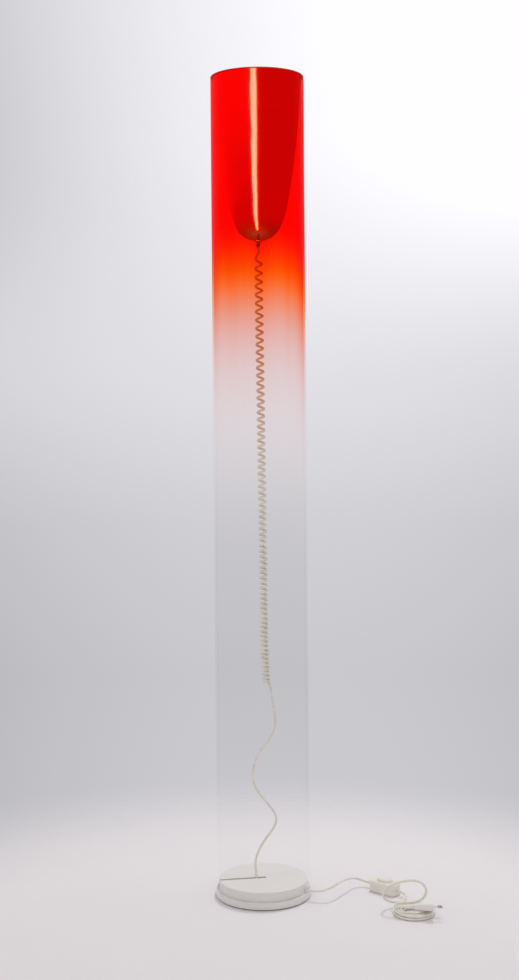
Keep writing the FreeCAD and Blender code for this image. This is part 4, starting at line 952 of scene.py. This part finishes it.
class LAMP_OT_inner_cord(bpy.types.Operator):
    """Lay the cord inside the tube, plain from the base and then curled up to the reflector"""
    bl_idname = "lamp.inner_cord"
    bl_label = "Inner cord"

    def execute(self, context):
        sizes = context.scene.lamp_sizes
        mesh, path = swept_wire(inner_route(sizes), sizes.cord_radius, "cord_plastic", 12, 2)
        cord = add_piece("inner_cord", mesh, "cord_plastic", None, "inner_tail", "curly_cord")
        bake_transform(cord)
        return {"FINISHED"}


class LAMP_OT_switch(bpy.types.Operator):
    """Mould the foot switch's two shells, its raised button and the spring below it"""
    bl_idname = "lamp.switch"
    bl_label = "Foot switch"

    def execute(self, context):
        sizes = context.scene.lamp_sizes
        place = Matrix.Translation((*SWITCH_MIDDLE.xy, 0)) @ Matrix.Rotation(SWITCH_TURN, 4, "Z")
        corner, edge = sizes.switch_corner, sizes.switch_edge
        split, top = sizes.switch_split, sizes.switch_height
        wall, foot, seam, play, gap = 0.002, 0.0016, 0.0005, 0.0003, 0.0001
        lip_foot, lip_top, crown = top - 0.0035, top - wall, top + sizes.button_rise
        roof, hollow, bulge = lip_foot + 0.0034, 0.0075, 0.0007

        def hub(height):
            return [place @ Vector((0, 0, height))]

        def ring(long, wide, inset, height):
            shape = outline(long / 2 - inset, wide / 2 - inset, corner - inset)
            return [place @ Vector((x, y, height)) for x, y in shape]

        def case_ring(inset, height):
            return ring(sizes.switch_length, sizes.switch_width, inset, height)

        def button_ring(inset, height):
            return ring(sizes.button_length, sizes.button_width, inset, height)

        def round_ring(radius, height):
            shape = outline(sizes.switch_length / 2, sizes.switch_width / 2, corner)
            angles = [math.atan2(y, x) for x, y in shape]
            return [place @ Vector((radius * math.cos(a), radius * math.sin(a), height)) for a in angles]

        def rounded(level, height):
            return [level(edge * (1 - math.cos(a)), height - edge * (1 - math.sin(a)))
                    for a in spread(0, math.pi / 2, 9)]

        def seam_edge(height, rise):
            return [case_ring(wall, height), case_ring(seam, height),
                    case_ring(0.2 * seam, height + 0.8 * rise), case_ring(0, height + 1.6 * rise)]

        upper = seam_edge(split, seam) + rounded(case_ring, top)
        upper += [button_ring(-seam, top), button_ring(-play, top - play), button_ring(-play, top - wall),
                  case_ring(0.0045, top - wall), case_ring(wall, top - 0.005)]
        add_piece("switch_upper_shell", loft(upper, loop=True), "switch_plastic", "lamp_base",
                  "switch_upper_case")
        lower = [hub(0), case_ring(0.006, 0)]
        lower += [case_ring(foot * (1 - math.sin(a)), foot * (1 - math.cos(a)))
                  for a in spread(0, math.pi / 2, 6)]
        lower += seam_edge(split - gap, -seam)[::-1] + [case_ring(wall, wall), hub(wall)]
        add_piece("switch_lower_shell", loft(lower), "switch_plastic", "lamp_base", "switch_lower_case")

        button = [hub(roof), round_ring(hollow, roof), round_ring(hollow, lip_foot)]
        button += [button_ring(-wall, lip_foot), button_ring(-wall, lip_top), button_ring(0, lip_top)]
        button += rounded(button_ring, crown - bulge)
        button += [button_ring(0.006, crown - bulge * 0.5), button_ring(0.008, crown - bulge * 0.2)]
        button.append(hub(crown))
        add_piece("switch_button_cap", loft(button), "switch_plastic", "foot_button", "switch_button")

        low, high, reach, wire = 0.0022, roof - 0.0002, 0.006, 0.0005
        turns, per_turn = 6, 14
        spots = arc(0, 0, reach, 0, math.tau * turns, turns * per_turn + 1)
        heights = spread(low + wire, high - wire, turns * per_turn + 1)
        points = [place @ Vector((*spot, height)) for spot, height in zip(spots, heights)]
        mesh, _ = swept_wire(points, wire, "screw_steel", 8, 2)
        spring = add_piece("switch_coil_spring", mesh, "screw_steel", "lamp_base", "switch_spring")
        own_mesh(spring)
        return {"FINISHED"}


class LAMP_OT_plug(bpy.types.Operator):
    """Mould the flat plug with its ribbed strain relief, pins and sleeves"""
    bl_idname = "lamp.plug"
    bl_label = "Flat plug"

    def body(self, sizes, place):
        """The moulded body, through sections given as distance, half width and half thickness."""
        wide, thick, long = sizes.plug_width / 2, sizes.plug_thickness / 2, sizes.plug_length
        sections = [
            (0.0, 0.0052, 0.0046), (0.0006, 0.0058, 0.0052), (0.004, 0.0064, 0.0058),
            (0.009, 0.0071, 0.0064), (0.0135, 0.0079, thick), (0.0165, 0.0093, thick),
            (0.0195, 0.0116, thick), (0.0225, 0.0143, thick), (0.0252, 0.0164, thick),
            (0.0280, 0.0174, thick), (0.031, wide, thick), (long - 0.0016, wide, thick),
            (long - 0.0006, wide - 0.0004, thick - 0.0004), (long, wide - 0.0014, thick - 0.0014)]
        rings = [[place @ Vector((x, y, z)) for y, z in outline(across, up, min(across, up) * 0.62, 6, 4)]
                 for x, across, up in sections]
        start, end = ([place @ Vector((x, 0, 0))] for x in (0, long))
        body = loft([start] + rings + [end])
        add_piece("plug_moulding", body, "plug_plastic", "lamp_base", "plug_body")

    def relief(self, sizes, place):
        """The strain relief with its ribs."""
        profile = [(0, 0), (0.0030, 0), (0.0034, 0.0006), (0.0044, 0.0142), (0, 0.0142)]
        maker = linked("relief", lathe(profile, SMALL_SEGMENTS, TURN_TO_X))
        add_nodes(maker, rib_tree(), length=0.0128, first_radius=0.0032, last_radius=0.0043, thickness=0.22,
                  count=sizes.relief_ribs, finish=finish("plug_plastic"))
        mesh = settled(maker)
        mesh.transform(place @ Matrix.Translation((-0.014, 0, 0)))
        add_piece("plug_ribbed_relief", smoothed(mesh), "plug_plastic", "lamp_base", "plug_relief")

    def pins(self, sizes, place):
        """The two pins and the sleeves round their roots."""
        core, sleeve, bare = 0.0011, 0.0016, 0.0100
        pin = [(0, 0), (core, 0), (core, bare), (0.0019, bare), (0.0020, bare + 0.0002)]
        pin += quarter(0.0012, 0.0182, 0.0008, 0) + [(0, 0.019)]
        cover = [(core, 0), (sleeve, 0), (sleeve, bare - 0.0003), (sleeve - 0.0001, bare), (core, bare)]
        spots = [place @ Matrix.Translation((sizes.plug_length, side * sizes.pin_spacing / 2, 0)) @ TURN_TO_X
                 for side in (-1, 1)]
        pins = joined(*[lathe(pin, SMALL_SEGMENTS, spot) for spot in spots])
        add_piece("plug_pin_pair", pins, "pin_nickel", "lamp_base", "plug_pins")
        sleeves = joined(*[lathe(cover, SMALL_SEGMENTS, spot, loop=True) for spot in spots])
        add_piece("pin_sleeve_pair", sleeves, "white_plastic", "lamp_base", "pin_sleeves")

    def execute(self, context):
        place = Matrix.Translation(PLUG_SPOT) @ Matrix.Rotation(PLUG_TURN, 4, "X")
        for mould in (self.body, self.relief, self.pins):
            mould(context.scene.lamp_sizes, place)
        return {"FINISHED"}


# What goes along with the leads and shows
ON_SWITCH = ("switch_upper_shell", "switch_lower_shell", "switch_button_cap")
ON_PLUG = ("plug_moulding", "plug_ribbed_relief", "plug_pin_pair", "pin_sleeve_pair")


class LAMP_OT_leads(bpy.types.Operator):
    """Lay the lead from the base through the foot switch and round its coil and loop to the plug"""
    bl_idname = "lamp.leads"
    bl_label = "Leads"

    def lead(self, name, route, smoothness, instead, **said):
        """One stretch of the lead; what is said of it as a cord is not used."""
        sizes = bpy.context.scene.lamp_sizes
        mesh, path = swept_wire(route(sizes), sizes.cord_radius, "cord_plastic", 16, smoothness)
        piece = add_piece(name, mesh, "cord_plastic", "lamp_base", *instead)

    def execute(self, context):
        on_switch = [bpy.data.objects[name] for name in (*ON_SWITCH, "switch_coil_spring")]
        on_switch += [frame["nodes"][name] for name in ("switch_screws", "switch_contacts")]
        self.lead("lead_base_to_switch", base_lead_route, 8, ["lead_to_switch"], length=0.19,
                  far_end="fitting", stiffness="medium", lay="loose", with_pieces=on_switch)
        on_plug = [bpy.data.objects[name] for name in ON_PLUG]
        self.lead("lead_switch_to_plug", plug_lead_route, 5, ["lead_to_coil", "lead_coil", "lead_loop"],
                  length=1.8, far_end="plug", stiffness="limp", lay="coiled", with_pieces=on_plug)
        return {"FINISHED"}


# What the lamp above the floor lights
ON_FLOOR = ("studio_floor", "base_flange", "base_cap", "lead_base_to_switch", "lead_switch_to_plug",
            *ON_SWITCH, *ON_PLUG)


class LAMP_OT_stage(bpy.types.Operator):
    """Set the pale floor, the soft light and the camera"""
    bl_idname = "lamp.stage"
    bl_label = "Stage"

    def floor(self, studio):
        """A pale floor just below the lamp."""
        shape = bmesh.new()
        bmesh.ops.create_circle(shape, cap_ends=True, segments=96, radius=studio.floor_fade * 1.2)
        mesh = meshed(shape)
        mesh.transform(Matrix.Translation((0, studio.floor_middle, -0.0004)))
        dress(mesh, "studio_floor")
        linked("studio_floor", mesh)

    def background(self, tree, parts):
        """The background's brightness: graded upwards, leaning to the right and darker at the sides."""
        ramp = put(tree, "ShaderNodeValToRGB", {"Fac": between(tree, parts["Z"], -0.3, 0.3, smooth=False)})
        stops = ramp.color_ramp.elements
        for at, _ in BACKDROP[1:-1]:
            stops.new(at)
        for stop, (_, tone) in zip(stops, BACKDROP):
            stop.color = (tone, tone, tone, 1)
        across = out(tree, "ShaderNodeClamp", {"Value": parts["X"], "Min": -0.2, "Max": 0.2})
        lean = times(tree, across, between(tree, parts["Z"], 0.0, 0.2, 0.1, 1.4))
        edge = times(tree, times(tree, across, across), -1.8)
        behind = maths(tree, "ADD", maths(tree, "ADD", ramp.outputs["Color"], lean), edge)
        behind = maths(tree, "MINIMUM", behind, 1.0)
        around = between(tree, parts["Z"], -0.2, 0.25, 0.70, 0.80)
        facing = between(tree, parts["Y"], 0.75, 0.92)
        return maths(tree, "MULTIPLY_ADD", facing, maths(tree, "SUBTRACT", behind, around), around)

    def room(self, scene, studio):
        """Soft light all round, with one background for the camera and another for the gloss."""
        scene.world = bpy.data.worlds.new("studio_room")
        scene.world.use_nodes = True
        tree = scene.world.node_tree
        tree.nodes.clear()
        parts = parts_of(tree, put(tree, "ShaderNodeTexCoord").outputs["Generated"])
        plain = self.background(tree, parts)
        left = between(tree, parts["Z"], -0.28, 0.12, 0.62, 0.93)
        before = between(tree, parts["X"], -0.27, -0.09, left, 0.56)
        rays = put(tree, "ShaderNodeLightPath").outputs
        change = maths(tree, "SUBTRACT", before, plain)
        tone = maths(tree, "MULTIPLY_ADD", rays["Is Glossy Ray"], change, plain)
        tint = out(tree, "ShaderNodeCombineColor", {"Red": tone, "Green": times(tree, tone, 0.988),
                                                    "Blue": times(tree, tone, 1.035)})
        seen = out(tree, "ShaderNodeBackground", {"Color": tint, "Strength": 1.0})
        light = out(tree, "ShaderNodeBackground", {"Color": (1.0, 0.985, 0.99),
                                                   "Strength": studio.room_light})
        shown = maths(tree, "MAXIMUM", rays["Is Camera Ray"],
                      maths(tree, "MAXIMUM", rays["Is Glossy Ray"], rays["Is Transmission Ray"]))
        put(tree, "ShaderNodeOutputWorld", {"Surface": blended(tree, shown, light, seen)})

    def lamp(self, name, spot, aim, size, power, names):
        """An area lamp that looks at a point, and lights and is shaded by these objects only."""
        data = bpy.data.lights.new(name, "AREA")
        data.shape, data.energy = "RECTANGLE", power
        data.size, data.size_y = size
        lamp = linked(name, data)
        lamp.location = spot
        lamp.rotation_euler = (Vector(aim) - Vector(spot)).to_track_quat("-Z", "Y").to_euler()
        lamp.visible_camera = False
        lit = bpy.data.collections.new(name + "_objects")
        for key in names:
            lit.objects.link(bpy.data.objects[key])
        lamp.light_linking.receiver_collection = lamp.light_linking.blocker_collection = lit
        return lamp

    def camera(self, scene, studio):
        """The level camera, shifted and slightly rolled."""
        data = bpy.data.cameras.new("camera")
        data.lens, data.sensor_width, data.shift_y = studio.camera_lens, 36, studio.camera_shift
        scene.camera = linked("camera", data)
        scene.camera.location = (0, -studio.camera_distance, studio.camera_height)
        scene.camera.rotation_euler = (math.pi / 2, studio.camera_roll, 0)

    def execute(self, context):
        scene = context.scene
        studio = scene.lamp_studio
        self.floor(studio)
        self.room(scene, studio)
        key = self.lamp("key_light", KEY_SPOT, KEY_AIM, KEY_SIZE, studio.key_power, ON_FLOOR)
        key.visible_glossy = False
        glint = self.lamp("glint_light", GLINT_SPOT, GLINT_AIM, GLINT_SIZE, studio.glint_power,
                          ["bullet_reflector"])
        glint.data.color = GLINT_COLOUR
        scene.view_settings.view_transform = "Standard"
        self.camera(scene, studio)
        return {"FINISHED"}


OPERATORS = (LAMP_OT_fittings, LAMP_OT_clear_tube, LAMP_OT_base, LAMP_OT_reflector, LAMP_OT_bulb,
             LAMP_OT_inner_cord, LAMP_OT_switch, LAMP_OT_plug, LAMP_OT_leads, LAMP_OT_stage)


class LAMP_PT_panel(bpy.types.Panel):
    """The lamp's pieces, sizes and colours"""
    bl_label = "Tube floor lamp"
    bl_idname = "LAMP_PT_panel"
    bl_space_type = "VIEW_3D"
    bl_region_type = "UI"
    bl_category = "Lamp"

    def draw(self, context):
        for step in OPERATORS:
            self.layout.operator(step.bl_idname)
        for group in (context.scene.lamp_sizes, context.scene.lamp_colours, context.scene.lamp_studio):
            box = self.layout.box()
            for key in group.bl_rna.properties.keys():
                if key not in ("rna_type", "name"):
                    box.prop(group, key)


CLASSES = (LampSizes, LampColours, LampStudio) + OPERATORS + (LAMP_PT_panel,)


def register():
    for item in CLASSES:
        bpy.utils.register_class(item)
    bpy.types.Scene.lamp_sizes = PointerProperty(type=LampSizes)
    bpy.types.Scene.lamp_colours = PointerProperty(type=LampColours)
    bpy.types.Scene.lamp_studio = PointerProperty(type=LampStudio)


def unregister():
    del bpy.types.Scene.lamp_studio, bpy.types.Scene.lamp_colours, bpy.types.Scene.lamp_sizes
    for item in reversed(CLASSES):
        bpy.utils.unregister_class(item)


def main():
    register()
    for step in OPERATORS:
        group, name = step.bl_idname.split(".")
        getattr(getattr(bpy.ops, group), name)()


if __name__ == "__main__":
    main()
